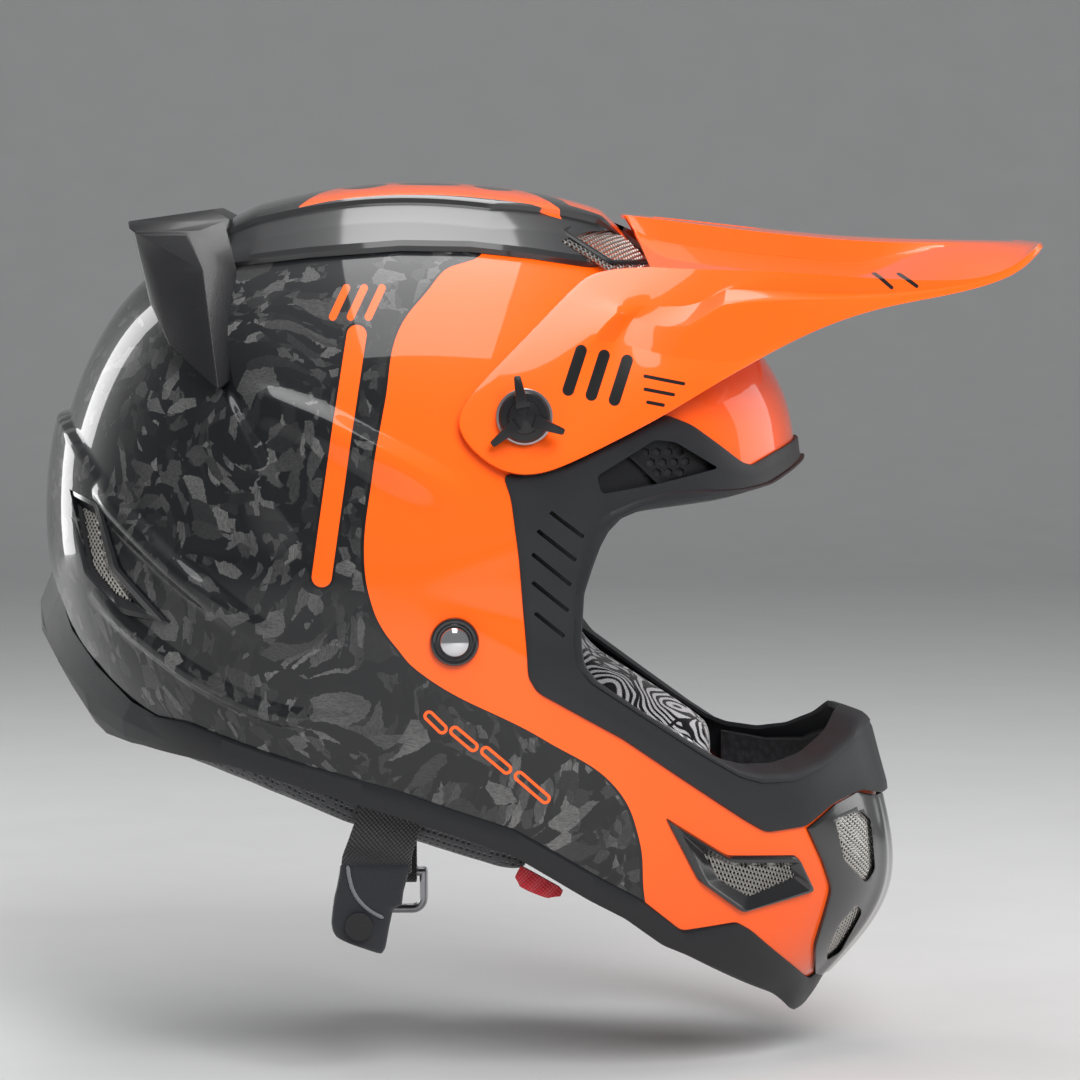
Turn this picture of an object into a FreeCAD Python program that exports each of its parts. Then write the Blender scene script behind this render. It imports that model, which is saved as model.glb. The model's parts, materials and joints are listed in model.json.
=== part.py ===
import FreeCAD, Part
import math
import os

# Motocross helmet, size M, worn attitude.  Millimetres.
# +X is the direction the wearer faces, +Y the wearer's left, +Z up.
# The origin is the middle of the head, level with the ear holes.
# Outlines are drawn in side view, as (x, z) points, and cut through the form along Y.

V = FreeCAD.Vector

# ---------------------------------------------------------------- driving dimensions
HALF_WIDTH = 125.0          # widest half of the shell, just above the ears
EAR = (-8.0, 22.0)          # side-view point that every section shrinks towards
SHELL_WALL = 3.0
TRIM_PROUD = 1.5            # trims stand this far out of the shell
GAP = 0.3                   # joint line between fixed pieces
FOAM_FACE = 3.6             # outside of the impact liner, below the shell's outer face
TRIM_DEPTH = 3.3            # how far the trims reach in behind the shell's outer face
PAD_FACE = 9.0              # outside of the cheek pads and neck roll
WIDE = 200.0                # half length of a cut that goes right through

# Middle profile of the shell, closed below the neck and across the eye port.
# Each row is x, z and the roundness of the cross-section there: 2 is an ellipse, more is boxier.
PROFILE = [
    (146, 66, 2.10), (141, 92, 2.15), (131, 110, 2.20), (113, 130, 2.25), (88, 149, 2.30),
    (55, 163, 2.35), (15, 170, 2.35), (-30, 170, 2.35), (-75, 161.5, 2.35), (-104, 151, 2.35),
    (-128, 131.5, 2.30), (-143, 107, 2.30), (-153, 78, 2.30), (-158, 44, 2.30), (-155, 8, 2.30),
    (-145, -22, 2.30),
    (-128, -52, 2.40), (-100, -90, 2.50), (-50, -130, 2.60), (20, -160, 2.60), (90, -172, 2.40),
    (140, -157, 2.10), (166, -134, 1.95), (182, -108, 1.90), (179, -70, 1.90), (170, -36, 1.90),
    (158, 15, 2.00),
]
WIDTH_STATIONS = [0.22, 0.44, 0.62, 0.76, 0.86, 0.93, 0.97, 0.995]

# Head space: ellipsoids over a straight neck tube.
HEAD_CENTRE_Z = 10.0
FOAM_CAVITY = (110.0, 90.0, 124.0)
HEAD_CAVITY = (100.0, 80.0, 114.0)
FACE_CAVITY = (175.0, 64.0)
NECK_CAVITY = (94.0, 74.0)

# ---------------------------------------------------------------- outlines, side view
TRIM_OUTER = [
    (26, 66), (30, 57), (33, 34), (36, -3), (36, -13), (39, -17), (73, -37), (129, -77), (146, -76),
    (158, -68), (168, -65), (178, -69), (210, -69), (210, 76), (146, 76), (124, 67), (121, 68),
    (100, 84), (90, 88), (86, 87), (64, 76), (49, 69),
]
EYE_PORT = [
    (210, 66), (147, 66), (133, 61), (104, 60), (80, 57), (69, 52), (64, 46), (59, 35), (54, 20),
    (53, 2), (55, -8), (64, -18), (83, -30), (111, -47), (124, -53), (137, -54), (151, -51),
    (162, -44), (166, -36), (210, -36),
]
MOUTH_OUTLINE = [
    (146.5, -76.6), (158, -68.6), (168, -65.6), (178, -69.6), (210, -69.6), (210, -140),
    (152.5, -140), (151, -128), (154, -116), (157, -103), (153, -91),
]
RIM_UPPER = [
    (-190, -24), (-98, -32), (-77, -39), (-54, -46), (-13, -57), (7, -64), (31, -72), (64, -92),
    (81, -102), (97, -116), (118, -114), (124, -118), (144, -136), (148, -144), (152, -140.6),
    (210, -140.6),
]
RIM_LOWER = [
    (-190, -36), (-111, -45), (-77, -49), (-54, -55), (-14, -67), (24, -79), (35, -86), (60, -101),
    (72, -108), (89, -121), (99, -126), (140, -150), (148, -158), (210, -158),
]
DIFFUSER_OUTLINE = [
    (-210, 25), (-153, 26), (-146, 17), (-130, -6), (-98, -32), (-77, -39), (-111, -44.5),
    (-140, -40), (-210, -40),
]
SPOILER_FINS = [
    (-92, 168), (-123, 163), (-119, 144), (-106, 124), (-90, 106), (-76, 103), (-77, 147), (-80, 160),
]
SPOILER_BLADE = [(-123, 163), (-90, 167), (-80, 160), (-84, 148), (-119, 148)]
SPOILER_BLADE_HALF = 46.0
FAIRING_OUTLINE = [
    (-75.5, 148), (-50, 149), (-14, 152), (13, 152), (37, 149), (61, 147), (70, 148), (76, 153),
    (76, 158.5), (72, 161.5), (60, 166.5), (48, 175), (20, 190), (-60, 190), (-76, 175),
]
FAIRING_RISE = 8.0          # thickness along its middle, and further out than the half width
FAIRING_MIDDLE = 29.0
FAIRING_SIDE_RISE = 5.0
CROWN_MESH_OUTLINE = [(45, 154), (61, 160), (70, 155), (74, 150), (66, 149)]
SIDE_VENT = [(90, -69), (115, -86), (143, -88), (150, -103), (120, -109), (103, -95)]
SIDE_VENT_WINDOW = [
    (106, -85), (117, -91), (141, -93), (144, -98), (141, -102), (125, -105), (116, -102), (109, -92),
]
REAR_VENT = [
    (-148, 59), (-132, 53), (-124, 28), (-105, 8), (-119, 9), (-127, 13), (-138, 24), (-146, 55),
]
REAR_VENT_WINDOW = [(-142, 50), (-135, 48), (-132, 28), (-121, 15), (-127, 17), (-137, 26)]
MOUTH_WINDOW_UPPER = [
    (159, -74), (170, -73.5), (175, -78), (177, -99), (174, -104), (166, -93), (160, -84),
]
MOUTH_WINDOW_LOWER = [(170, -112), (161, -127), (157, -131), (159, -120)]
BROW_VENT = [(64, 66), (88, 79), (107, 68), (87, 63), (65, 59)]
FOAM_OUTLINE = [
    (-190, -19), (-100, -21), (-78, -27), (-47, -34), (-47, 14), (49, 14), (51, 21), (56, 36),
    (61, 48), (66, 55), (79, 60), (104, 63), (133, 64), (150, 69), (190, 120), (100, 220),
    (-100, 220), (-220, 100),
]
CROWN_LINER_OUTLINE = [
    (-130, 16), (47, 16), (52, 36), (60, 52), (78, 63), (104, 66), (140, 70), (140, 170), (-130, 170),
]
CHEEK_OUTLINE = [
    (-45, 12), (47, 12), (55, 12), (58, -8), (67, -19), (85, -31), (116, -50), (112, -104),
    (89, -116), (60, -103), (39, -91), (37, -65), (-14, -46), (-45, -35),
]
CHIN_FOAM_OUTLINE = [
    (118, -54), (137, -56), (151, -54), (160, -48), (190, -60), (190, -110), (150, -134), (118, -112),
]
ROLL_OUTLINE = [
    (-190, -20), (-98, -23), (-78, -29), (-47, -36), (-14, -47.5), (36, -66), (38, -93), (30, -93),
    (-7, -80), (-38, -72), (-50, -66), (-78, -56), (-100, -50), (-190, -44),
]

# ---------------------------------------------------------------- peak
PEAK_WALL = 2.8
PIVOT = (35.0, 89.0)        # side screws, in side view
BOSS_R = 14.0               # flat seat round each screw, between these distances
BOSS_INNER = 118.0
BOSS_OUTER = 121.0
# station x, then (y, z) of: middle, ridge edge, ridge foot, side crease, upper side, mid side, low side
PEAK_STATIONS = [
    (0, (0, 174), (30, 173), (38, 168), (92, 146), (110, 122), (123, 92), (131, 58)),
    (35, (0, 171), (32, 170), (38, 164), (84, 146), (106, 122), (119.5, 92), (127, 58)),
    (65, (0, 169), (33, 168), (36, 160), (77, 146), (98, 122), (112, 92), (120, 58)),
    (95, (0, 167), (32, 165), (33, 155), (80, 146), (94, 122), (102, 92), (106, 62)),
    (125, (0, 163), (30, 161), (31, 152), (83, 145), (91, 122), (95, 104), (97, 84)),
    (155, (0, 159), (28, 158), (29, 149), (82, 143), (86, 128), (88, 118), (89, 104)),
    (185, (0, 157.5), (26, 154), (27, 152), (78, 141), (80, 134), (81, 128), (82, 118)),
    (210, (0, 156.5), (25, 153.5), (26, 153), (73, 140), (74.5, 136), (75.5, 132), (76, 124)),
    (230, (0, 155.8), (25, 153.5), (26, 153.3), (66, 146), (67, 143), (68, 139), (68.5, 132)),
    (245, (0, 155), (25, 154), (26, 153.9), (58, 153), (59, 150), (60, 147), (60.5, 142)),
]
PEAK_OUTLINE = [
    (73, 176), (73, 165), (84, 146.5), (62, 145), (33, 116), (5, 87), (6, 80), (24, 68), (37, 65),
    (49, 69), (90, 89), (128, 113), (142, 119), (155, 125), (169, 129), (187, 133), (208, 136),
    (219, 139), (231, 143), (241, 152), (248, 152), (248, 176),
]
PEAK_SLOT = [(90, 7), (128, 5), (128, 12), (90, 16)]     # top view, (x, y), both sides

# ---------------------------------------------------------------- fasteners and straps
SCREW_R = 3.0
SCREW_HUB_R = 10.0
SCREW_WING_R = 16.5
SCREW_HUB_DEEP = 5.0
SCREW_DEEP = 9.5
SCREW_SEAT = 121.3          # hub underside, from the middle plane
SCREW_END = 103.0
INSERT_R = 6.0
INSERT_BORE_R = 3.1
INSERT_FACE = 117.7
INSERT_END = 101.0
RIVET = (8.0, 2.0)
RIVET_SHAFT_R = 3.0
RIVET_DOME_R = 6.0
RIVET_RING_R = 9.5
STRAP_BAND = [(-4, 10), (18, 10), (-9, -83.5), (-36, -83.5)]
BAND_FACE = 6.4             # outside of the webbing, below the shell's outer face
STRAP_Y = 99.5
STRAP_THICK = 5.0
RIGHT_STRAP = [
    (-37.5, -87.5), (-38, -92), (-40, -100), (-41, -111), (-40, -116), (-22, -124), (-20, -123),
    (-17, -105), (-13, -104), (-12, -94), (-9, -87.5),
]
LEFT_STRAP = [(-36, -87.5), (-12, -87.5), (-12, -119), (-36, -119)]
RING_Z = -117.0
RING_X = -24.0
RING_HALF = 15.0
RING_DROP = 16.0
RING_WIRE = 1.75
RING_CORNER = 5.0
RING_SPACING = 2.3          # each ring's plane, from the strap's middle
TAB_OUTLINE = [(33, -87.3), (50, -97.5), (49.5, -101), (44, -102), (34, -99), (31, -95)]
TAB_FACE = 6.9
TAB_THICK = 1.4
SNAP = (-30.0, -112.0)
SNAP_CAP_R = 5.5
SNAP_BACK_R = 4.0
SNAP_STUD_R = 2.0
BAND_THICK = 2.0
LOOP_WALL = 1.8             # webbing round the rings' bars
LOOP_BOX = (-36.0, 24.0, 9.5)   # start along X, length, height
LOOP_SLOT = 4.4             # height of the space for the bars


# ---------------------------------------------------------------- helpers
def save(name, shape):
    """Writes one named piece, cleaned of anything that isn't a solid."""
    solids = [s for s in shape.Solids if s.Volume > 1.0]
    piece = solids[0] if len(solids) == 1 else Part.makeCompound(solids)
    piece.exportStep("parts/%s.step" % name)
    print("%-26s solids %d  volume %.1f cm3  valid %s" % (
        name, len(solids), piece.Volume / 1000.0, piece.isValid()))


def form(offset):
    """The whole helmet form as one closed solid, its surface moved out by offset."""
    if offset in FORMS:
        return FORMS[offset]
    stations = [-s for s in reversed(WIDTH_STATIONS)] + [0.0] + WIDTH_STATIONS
    wires = []
    for share in stations:
        points = []
        for x, z, power in PROFILE:
            reach = math.hypot(x - EAR[0], z - EAR[1])
            k = (1 + offset / reach) * (1 - abs(share) ** power) ** (1 / power)
            points.append(V(EAR[0] + (x - EAR[0]) * k, share * (HALF_WIDTH + offset),
                            EAR[1] + (z - EAR[1]) * k))
        curve = Part.BSplineCurve()
        curve.interpolate(Points=points, PeriodicFlag=True)
        wires.append(Part.Wire(curve.toShape()))
    FORMS[offset] = Part.makeLoft(wires, True, False)
    return FORMS[offset]


def grown(outline, by):
    """The outline with every edge moved out by a distance, corners mitred."""
    area = sum(a[0] * b[1] - b[0] * a[1] for a, b in zip(outline, outline[1:] + outline[:1]))
    turn = 1.0 if area > 0 else -1.0
    result = []
    for i, point in enumerate(outline):
        before, after = outline[i - 1], outline[(i + 1) % len(outline)]
        normals = []
        for a, b in ((before, point), (point, after)):
            length = math.hypot(b[0] - a[0], b[1] - a[1])
            normals.append(((b[1] - a[1]) / length * turn, -(b[0] - a[0]) / length * turn))
        nx, nz = normals[0][0] + normals[1][0], normals[0][1] + normals[1][1]
        scale = 2 * by / max(nx * nx + nz * nz, 0.8)
        result.append((point[0] + nx * scale, point[1] + nz * scale))
    return result


def prism(outline, low=-WIDE, high=WIDE):
    """A side-view outline pushed along Y from low to high."""
    points = [V(x, low, z) for x, z in outline]
    face = Part.Face(Part.makePolygon(points + points[:1]))
    return face.extrude(V(0, high - low, 0))


def side_range(side, inner=1.0):
    """The Y limits of one side: -1 is the wearer's right, 1 the left."""
    return (-WIDE, -inner) if side < 0 else (inner, WIDE)


def skin(outline, outer, inner, low=-WIDE, high=WIDE, holes=()):
    """The layer of the form between two offsets, inside an outline and outside its holes."""
    tool = prism(outline, low, high)
    for hole in holes:
        tool = tool.cut(prism(hole, low - 1, high + 1))
    return form(outer).common(tool).cut(form(inner))


def ellipse_tube(half_x, half_y, low, high):
    """An upright elliptical cylinder."""
    if half_x > half_y:
        rim = Part.Ellipse(V(0, 0, low), half_x, half_y)
    else:
        rim = Part.Ellipse(V(0, 0, low), half_y, half_x)
    return Part.Face(Part.Wire(rim.toShape())).extrude(V(0, 0, high - low))


def head_space(axes, bottom=-220.0):
    """An ellipsoid dome over a tube that runs down through the neck."""
    ball = Part.makeSphere(1.0)
    matrix = FreeCAD.Matrix()
    matrix.scale(*axes)
    ball = ball.transformGeometry(matrix)
    ball.translate(V(0, 0, HEAD_CENTRE_Z))
    return ball.fuse(ellipse_tube(axes[0], axes[1], bottom, HEAD_CENTRE_Z))


def rod(radius, side, near, far, x, z):
    """A cylinder along Y on one side, between two distances from the middle plane."""
    start = side * near
    return Part.makeCylinder(radius, far - near, V(x, start, z), V(0, side, 0))


def peak_section(x, half, inward):
    """Closed section of the peak at one station: the outer line and the same line moved inward."""
    line = [(-y, z) for y, z in reversed(half[1:])] + list(half)
    inner = []
    for i, (y, z) in enumerate(line):
        a = line[max(i - 1, 0)]
        b = line[min(i + 1, len(line) - 1)]
        length = math.hypot(b[0] - a[0], b[1] - a[1])
        inner.append((y + (b[1] - a[1]) / length * inward, z - (b[0] - a[0]) / length * inward))
    points = [V(x, y, z) for y, z in line + inner[::-1]]
    return Part.makePolygon(points + points[:1])


FORMS = {}


# ---------------------------------------------------------------- shell and what is bonded to it
def make_outer_shell():
    shell = form(0).cut(form(-SHELL_WALL))
    below = RIM_UPPER + [(210, -300), (-190, -300)]
    openings = [grown(TRIM_OUTER, GAP), grown(MOUTH_OUTLINE, GAP), grown(below, GAP)]
    openings += [grown(SIDE_VENT, GAP), grown(REAR_VENT, GAP)]
    for outline in openings:
        shell = shell.cut(prism(outline))
    for side in (-1, 1):
        shell = shell.cut(rod(INSERT_R + 0.2, side, 90, 140, *PIVOT))
        shell = shell.cut(rod(RIVET_SHAFT_R + 0.2, side, 90, 140, *RIVET))
    save("outer_shell", shell)


def make_foam_liner():
    liner = form(-FOAM_FACE).common(prism(FOAM_OUTLINE)).cut(head_space(FOAM_CAVITY))
    for side in (-1, 1):
        liner = liner.cut(rod(INSERT_R + 0.5, side, 90, 140, *PIVOT))
    save("impact_liner", liner)


def make_comfort_parts():
    outer = [a - 0.5 for a in FOAM_CAVITY]
    liner = head_space(outer).common(prism(CROWN_LINER_OUTLINE)).cut(head_space(HEAD_CAVITY))
    save("crown_liner", liner)
    face = ellipse_tube(*FACE_CAVITY, -200, 60)
    for side, name in ((-1, "right"), (1, "left")):
        pad = form(-PAD_FACE).common(prism(CHEEK_OUTLINE, *side_range(side))).cut(face)
        save("cheek_pad_" + name, pad)
    roll = form(-PAD_FACE).common(prism(ROLL_OUTLINE)).cut(ellipse_tube(*NECK_CAVITY, -200, 60))
    save("neck_roll", roll)
    windows = (MOUTH_WINDOW_UPPER, MOUTH_WINDOW_LOWER)
    save("chin_bar_foam", skin(CHIN_FOAM_OUTLINE, -FOAM_FACE, -13, holes=windows))


def make_trims():
    save("eye_port_trim", skin(TRIM_OUTER, TRIM_PROUD, -TRIM_DEPTH,
                               holes=(EYE_PORT, grown(BROW_VENT, GAP))))
    rim = RIM_UPPER + RIM_LOWER[::-1]
    save("rim_trim", skin(rim, TRIM_PROUD, -6))
    save("rear_diffuser", skin(DIFFUSER_OUTLINE, 9, 1.8))
    windows = (grown(MOUTH_WINDOW_UPPER, GAP), grown(MOUTH_WINDOW_LOWER, GAP))
    save("mouth_guard", skin(MOUTH_OUTLINE, 2, -TRIM_DEPTH, holes=windows))
    mesh_hole = (grown(CROWN_MESH_OUTLINE, GAP),)
    fairing = skin(FAIRING_OUTLINE, FAIRING_SIDE_RISE, GAP, holes=mesh_hole)
    middle = skin(FAIRING_OUTLINE, FAIRING_RISE, GAP, -FAIRING_MIDDLE, FAIRING_MIDDLE, mesh_hole)
    save("crown_fairing", fairing.fuse(middle))
    blade = prism(SPOILER_BLADE, -SPOILER_BLADE_HALF, SPOILER_BLADE_HALF)
    spoiler = form(8).common(prism(SPOILER_FINS)).fuse(blade).cut(form(0.3))
    save("rear_spoiler", spoiler)


def make_vents():
    for side, name in ((-1, "right"), (1, "left")):
        low, high = side_range(side)
        save("side_vent_frame_" + name,
             skin(SIDE_VENT, TRIM_PROUD, -SHELL_WALL, low, high, (grown(SIDE_VENT_WINDOW, GAP),)))
        save("side_vent_mesh_" + name, skin(SIDE_VENT_WINDOW, -1, -2.2, low, high))
        save("rear_vent_frame_" + name,
             skin(REAR_VENT, TRIM_PROUD, -SHELL_WALL, low, high, (grown(REAR_VENT_WINDOW, GAP),)))
        save("rear_vent_mesh_" + name, skin(REAR_VENT_WINDOW, -1, -2.2, low, high))
        save("mouth_mesh_upper_" + name, skin(MOUTH_WINDOW_UPPER, 0.5, -0.7, low, high))
        save("mouth_mesh_lower_" + name, skin(MOUTH_WINDOW_LOWER, 0.5, -0.7, low, high))
        save("brow_vent_grille_" + name, skin(BROW_VENT, -1.5, -3, low, high))
        save("crown_mesh_" + name, skin(CROWN_MESH_OUTLINE, 4, 2.8, low, high))


# ---------------------------------------------------------------- peak and its screws
def make_peak():
    sections = [peak_section(row[0], row[1:], PEAK_WALL) for row in PEAK_STATIONS]
    peak = Part.makeLoft(sections, True, True).common(prism(PEAK_OUTLINE))
    for side in (-1, 1):
        peak = peak.cut(rod(BOSS_R, side, BOSS_OUTER, 140, *PIVOT))
        peak = peak.cut(rod(BOSS_R, side, 100, BOSS_INNER, *PIVOT))
        peak = peak.fuse(rod(BOSS_R, side, BOSS_INNER, BOSS_OUTER, *PIVOT))
        peak = peak.cut(rod(SCREW_R + 0.4, side, 100, 140, *PIVOT))
        slot = [V(x, side * y, 140) for x, y in PEAK_SLOT]
        peak = peak.cut(Part.Face(Part.makePolygon(slot + slot[:1])).extrude(V(0, 0, 60)))
    save("peak", peak)


def make_peak_screws():
    for side, name in ((-1, "right"), (1, "left")):
        hub_end = SCREW_SEAT + SCREW_HUB_DEEP
        outer_end = SCREW_SEAT + SCREW_DEEP
        hub = rod(SCREW_HUB_R, side, SCREW_SEAT, hub_end, *PIVOT)
        dome = rod(SCREW_HUB_R - 3, side, hub_end, outer_end - 1.5, *PIVOT)
        screw = hub.fuse(dome).fuse(rod(SCREW_R, side, SCREW_END, SCREW_SEAT, *PIVOT))
        for turn in range(3):
            wing = Part.makeBox(SCREW_WING_R - 4, SCREW_DEEP - SCREW_HUB_DEEP - 0.5, 3, V(4, 0, -1.5))
            wing.rotate(V(0, 0, 0), V(0, 1, 0), 120 * turn - 20)
            wing.translate(V(PIVOT[0], hub_end + 0.5 if side > 0 else -outer_end, PIVOT[1]))
            screw = screw.fuse(wing)
        save("peak_screw_" + name, screw)
        insert = rod(INSERT_R, side, INSERT_END, INSERT_FACE, *PIVOT)
        save("peak_insert_" + name, insert.cut(rod(INSERT_BORE_R, side, 90, 140, *PIVOT)))


# ---------------------------------------------------------------- chin strap
def make_rivets():
    for side, name in ((-1, "right"), (1, "left")):
        face = HALF_WIDTH
        ring = rod(RIVET_RING_R, side, face, face + 2.5, *RIVET)
        save("rivet_washer_" + name, ring.cut(rod(RIVET_SHAFT_R + 0.1, side, 100, 140, *RIVET)))
        dome = Part.makeSphere(RIVET_DOME_R, V(RIVET[0], side * (face + 1.2), RIVET[1]))
        dome = dome.common(rod(RIVET_DOME_R, side, face + 2.8, face + 9, *RIVET))
        shaft = rod(RIVET_SHAFT_R, side, face - 8.5, face + 2.8, *RIVET)
        save("strap_rivet_" + name, dome.fuse(shaft))


def d_ring(y):
    """A D-ring in an XZ plane: a straight bar with a bow below it."""
    bar = Part.makeCylinder(RING_WIRE, 2 * RING_HALF, V(RING_X - RING_HALF, y, RING_Z), V(1, 0, 0))
    corner = RING_CORNER
    low = RING_Z - RING_DROP
    left, right = RING_X - RING_HALF, RING_X + RING_HALF
    bend = corner * (1 - math.sqrt(0.5))
    left_start, left_end = V(left, y, low + corner), V(left + corner, y, low)
    right_start, right_end = V(right - corner, y, low), V(right, y, low + corner)
    edges = [
        Part.LineSegment(V(left, y, RING_Z), left_start),
        Part.Arc(left_start, V(left + bend, y, low + bend), left_end),
        Part.LineSegment(left_end, right_start),
        Part.Arc(right_start, V(right - bend, y, low + bend), right_end),
        Part.LineSegment(right_end, V(right, y, RING_Z)),
    ]
    path = Part.Wire([edge.toShape() for edge in edges])
    profile = Part.Wire(Part.Circle(V(left, y, RING_Z), V(0, 0, 1), RING_WIRE).toShape())
    bow = path.makePipeShell([profile], True, True)
    ends = [Part.makeSphere(RING_WIRE, V(x, y, RING_Z)) for x in (left, right)]
    return bow.fuse([bar] + ends)


def make_straps():
    for side, name in ((-1, "right"), (1, "left")):
        low, high = side_range(side)
        webbing = skin(STRAP_BAND, -BAND_FACE, -BAND_FACE - BAND_THICK, low, high)
        save("strap_anchor_" + name, webbing.cut(rod(RIVET_SHAFT_R + 0.2, side, 100, 140, *RIVET)))
    near, far = STRAP_Y - STRAP_THICK / 2, STRAP_Y + STRAP_THICK / 2
    right = prism(RIGHT_STRAP, -far, -near)
    save("chin_strap_right", right.cut(rod(SNAP_STUD_R + 0.1, -1, near - 1, far + 1, *SNAP)))
    stud = rod(SNAP_STUD_R, -1, near, far, *SNAP).fuse(rod(SNAP_CAP_R, -1, far, far + 2.5, *SNAP))
    save("strap_snap", stud.fuse(rod(SNAP_BACK_R, -1, near - 1.5, near, *SNAP)))
    slot_half = RING_SPACING + RING_WIRE + 0.4
    loop_half = slot_half + LOOP_WALL
    start, length, height = LOOP_BOX
    left = prism(LEFT_STRAP, near, far)
    loop_corner = V(start, STRAP_Y - loop_half, RING_Z - height / 2 + 0.25)
    loop = Part.makeBox(length, 2 * loop_half, height, loop_corner)
    slot_corner = V(start - 3, STRAP_Y - slot_half, RING_Z - LOOP_SLOT / 2)
    slot = Part.makeBox(length + 6, 2 * slot_half, LOOP_SLOT, slot_corner)
    save("chin_strap_left", left.fuse(loop).cut(slot))
    save("d_ring_outer", d_ring(STRAP_Y + RING_SPACING))
    save("d_ring_inner", d_ring(STRAP_Y - RING_SPACING))
    for side, name in ((-1, "right"), (1, "left")):
        low, high = side_range(side)
        save("release_tab_" + name, skin(TAB_OUTLINE, -TAB_FACE, -TAB_FACE - TAB_THICK, low, high))


os.makedirs("parts", exist_ok=True)
make_outer_shell()
make_foam_liner()
make_comfort_parts()
make_trims()
make_vents()
make_peak()
make_peak_screws()
make_rivets()
make_straps()
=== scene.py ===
import json
import math

import bpy
import numpy as np
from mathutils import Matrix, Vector


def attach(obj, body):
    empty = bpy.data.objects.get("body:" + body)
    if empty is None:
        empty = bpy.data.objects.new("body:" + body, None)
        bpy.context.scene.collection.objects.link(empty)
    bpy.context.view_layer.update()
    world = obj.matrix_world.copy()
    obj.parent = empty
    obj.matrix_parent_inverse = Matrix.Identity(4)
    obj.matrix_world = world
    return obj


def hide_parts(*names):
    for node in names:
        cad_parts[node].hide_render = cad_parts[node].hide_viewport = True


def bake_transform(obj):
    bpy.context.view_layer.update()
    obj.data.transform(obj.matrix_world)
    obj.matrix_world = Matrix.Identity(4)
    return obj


# Looks of a motocross helmet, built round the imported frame.
# Outlines are side-view (x, z) points in millimetres; every mesh is turned into metres at the end.

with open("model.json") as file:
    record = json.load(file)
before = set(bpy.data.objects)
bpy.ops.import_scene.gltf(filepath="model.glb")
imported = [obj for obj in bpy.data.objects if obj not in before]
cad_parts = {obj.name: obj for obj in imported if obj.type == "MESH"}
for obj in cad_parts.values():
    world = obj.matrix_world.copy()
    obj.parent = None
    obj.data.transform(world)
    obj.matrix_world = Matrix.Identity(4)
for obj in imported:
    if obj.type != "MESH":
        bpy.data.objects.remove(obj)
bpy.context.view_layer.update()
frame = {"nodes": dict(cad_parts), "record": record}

MM = 0.001
RIGHT, LEFT = -1, 1
SIDES = ((RIGHT, "right"), (LEFT, "left"))

# ---------------------------------------------------------------- the helmet's form
EAR = (-8.0, 22.0)
MIDDLE = np.array([EAR[0], 0, EAR[1]])
HALF_WIDTH = 125.0
SHELL_WALL = 3.0
PROFILE = np.array([
    (146, 66, 2.10), (141, 92, 2.15), (131, 110, 2.20), (113, 130, 2.25), (88, 149, 2.30),
    (55, 163, 2.35), (15, 170, 2.35), (-30, 170, 2.35), (-75, 161.5, 2.35), (-104, 151, 2.35),
    (-128, 131.5, 2.30), (-143, 107, 2.30), (-153, 78, 2.30), (-158, 44, 2.30), (-155, 8, 2.30),
    (-145, -22, 2.30),
    (-128, -52, 2.40), (-100, -90, 2.50), (-50, -130, 2.60), (20, -160, 2.60), (90, -172, 2.40),
    (140, -157, 2.10), (166, -134, 1.95), (182, -108, 1.90), (179, -70, 1.90), (170, -36, 1.90),
    (158, 15, 2.00),
])

# The eye port trim's outer and inner edges, in pairs from the brow round to the chin
TRIM_PAIRS = [
    ((146, 76), (147, 67)), ((134, 71.5), (140, 63)), ((124, 67), (131, 58.5)),
    ((120, 68.5), (121, 56.5)), ((110, 76.5), (113, 55)), ((100, 84), (104, 54.3)),
    ((90, 88), (93, 53.4)), ((85, 87), (87, 52.8)), ((64, 76), (79, 51.6)), ((49, 69), (71, 48.5)),
    ((27, 66), (66, 43.5)), ((30, 57), (63, 38)), ((33, 34), (60, 30)), ((34.5, 15), (56.8, 20)),
    ((36, -3), (55.8, 2)), ((36.5, -12), (57, -7)), ((40, -18), (62, -13.5)), ((73, -37), (84, -29)),
    ((101, -57), (103, -42)), ((122, -72), (117, -50.5)), ((130, -77), (126, -53.3)),
    ((146, -76), (139, -54)), ((158, -68), (151, -51)), ((168, -65), (161, -44.5)),
    ((178, -69), (168, -36)),
]
BROW_VENT = [(63, 65.5), (86, 79), (94, 78), (111.5, 67), (88, 62), (65, 58.5)]
GROOVES = [
    ((45, 52), (58, 42)), ((40, 45), (55, 33)), ((38, 36), (53, 23.5)), ((38, 25), (52, 13.5)),
    ((39, 13), (50.5, 3.5)),
]
MOUTH_TOP = [(178, -69.6), (168, -65.6), (158, -68.6), (146.5, -76.6)]
MOUTH_SIDE = [(146.5, -76.6), (153, -91), (157, -103), (154, -116), (151, -128), (152, -141)]
RIM_PAIRS = [
    ((-151, -24), (-140, -40)), ((-125, -30), (-125, -43)), ((-98, -32), (-106, -45.5)),
    ((-77, -39), (-77, -49)), ((-54, -46), (-54, -55)), ((-13, -57), (-14, -67)),
    ((7, -64), (5, -73)), ((31, -72), (30, -82)), ((48, -82), (46, -92)), ((64, -92), (60, -101)),
    ((81, -102), (74, -109)), ((97, -116), (89, -121)), ((108, -115), (99, -126)),
    ((119, -114), (112, -134)), ((125, -118), (122, -140)), ((143, -136), (134, -147)),
    ((150, -144), (141, -151)), ((154, -141.5), (148, -158)), ((160, -140.6), (152, -159)),
]
SIDE_VENT = [(90, -69), (115, -86), (143, -88), (150, -103), (120, -109), (103, -95)]
SIDE_VENT_WINDOW = [(106, -85), (117, -91), (141, -93), (144, -98), (125, -105), (113, -97)]
REAR_VENT = [(-148, 59), (-132, 53), (-124, 28), (-103, 7), (-121, 9), (-138, 24)]
REAR_VENT_WINDOW = [(-142, 51), (-135, 48), (-131, 27), (-119, 14), (-127, 17), (-137, 27)]
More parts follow.
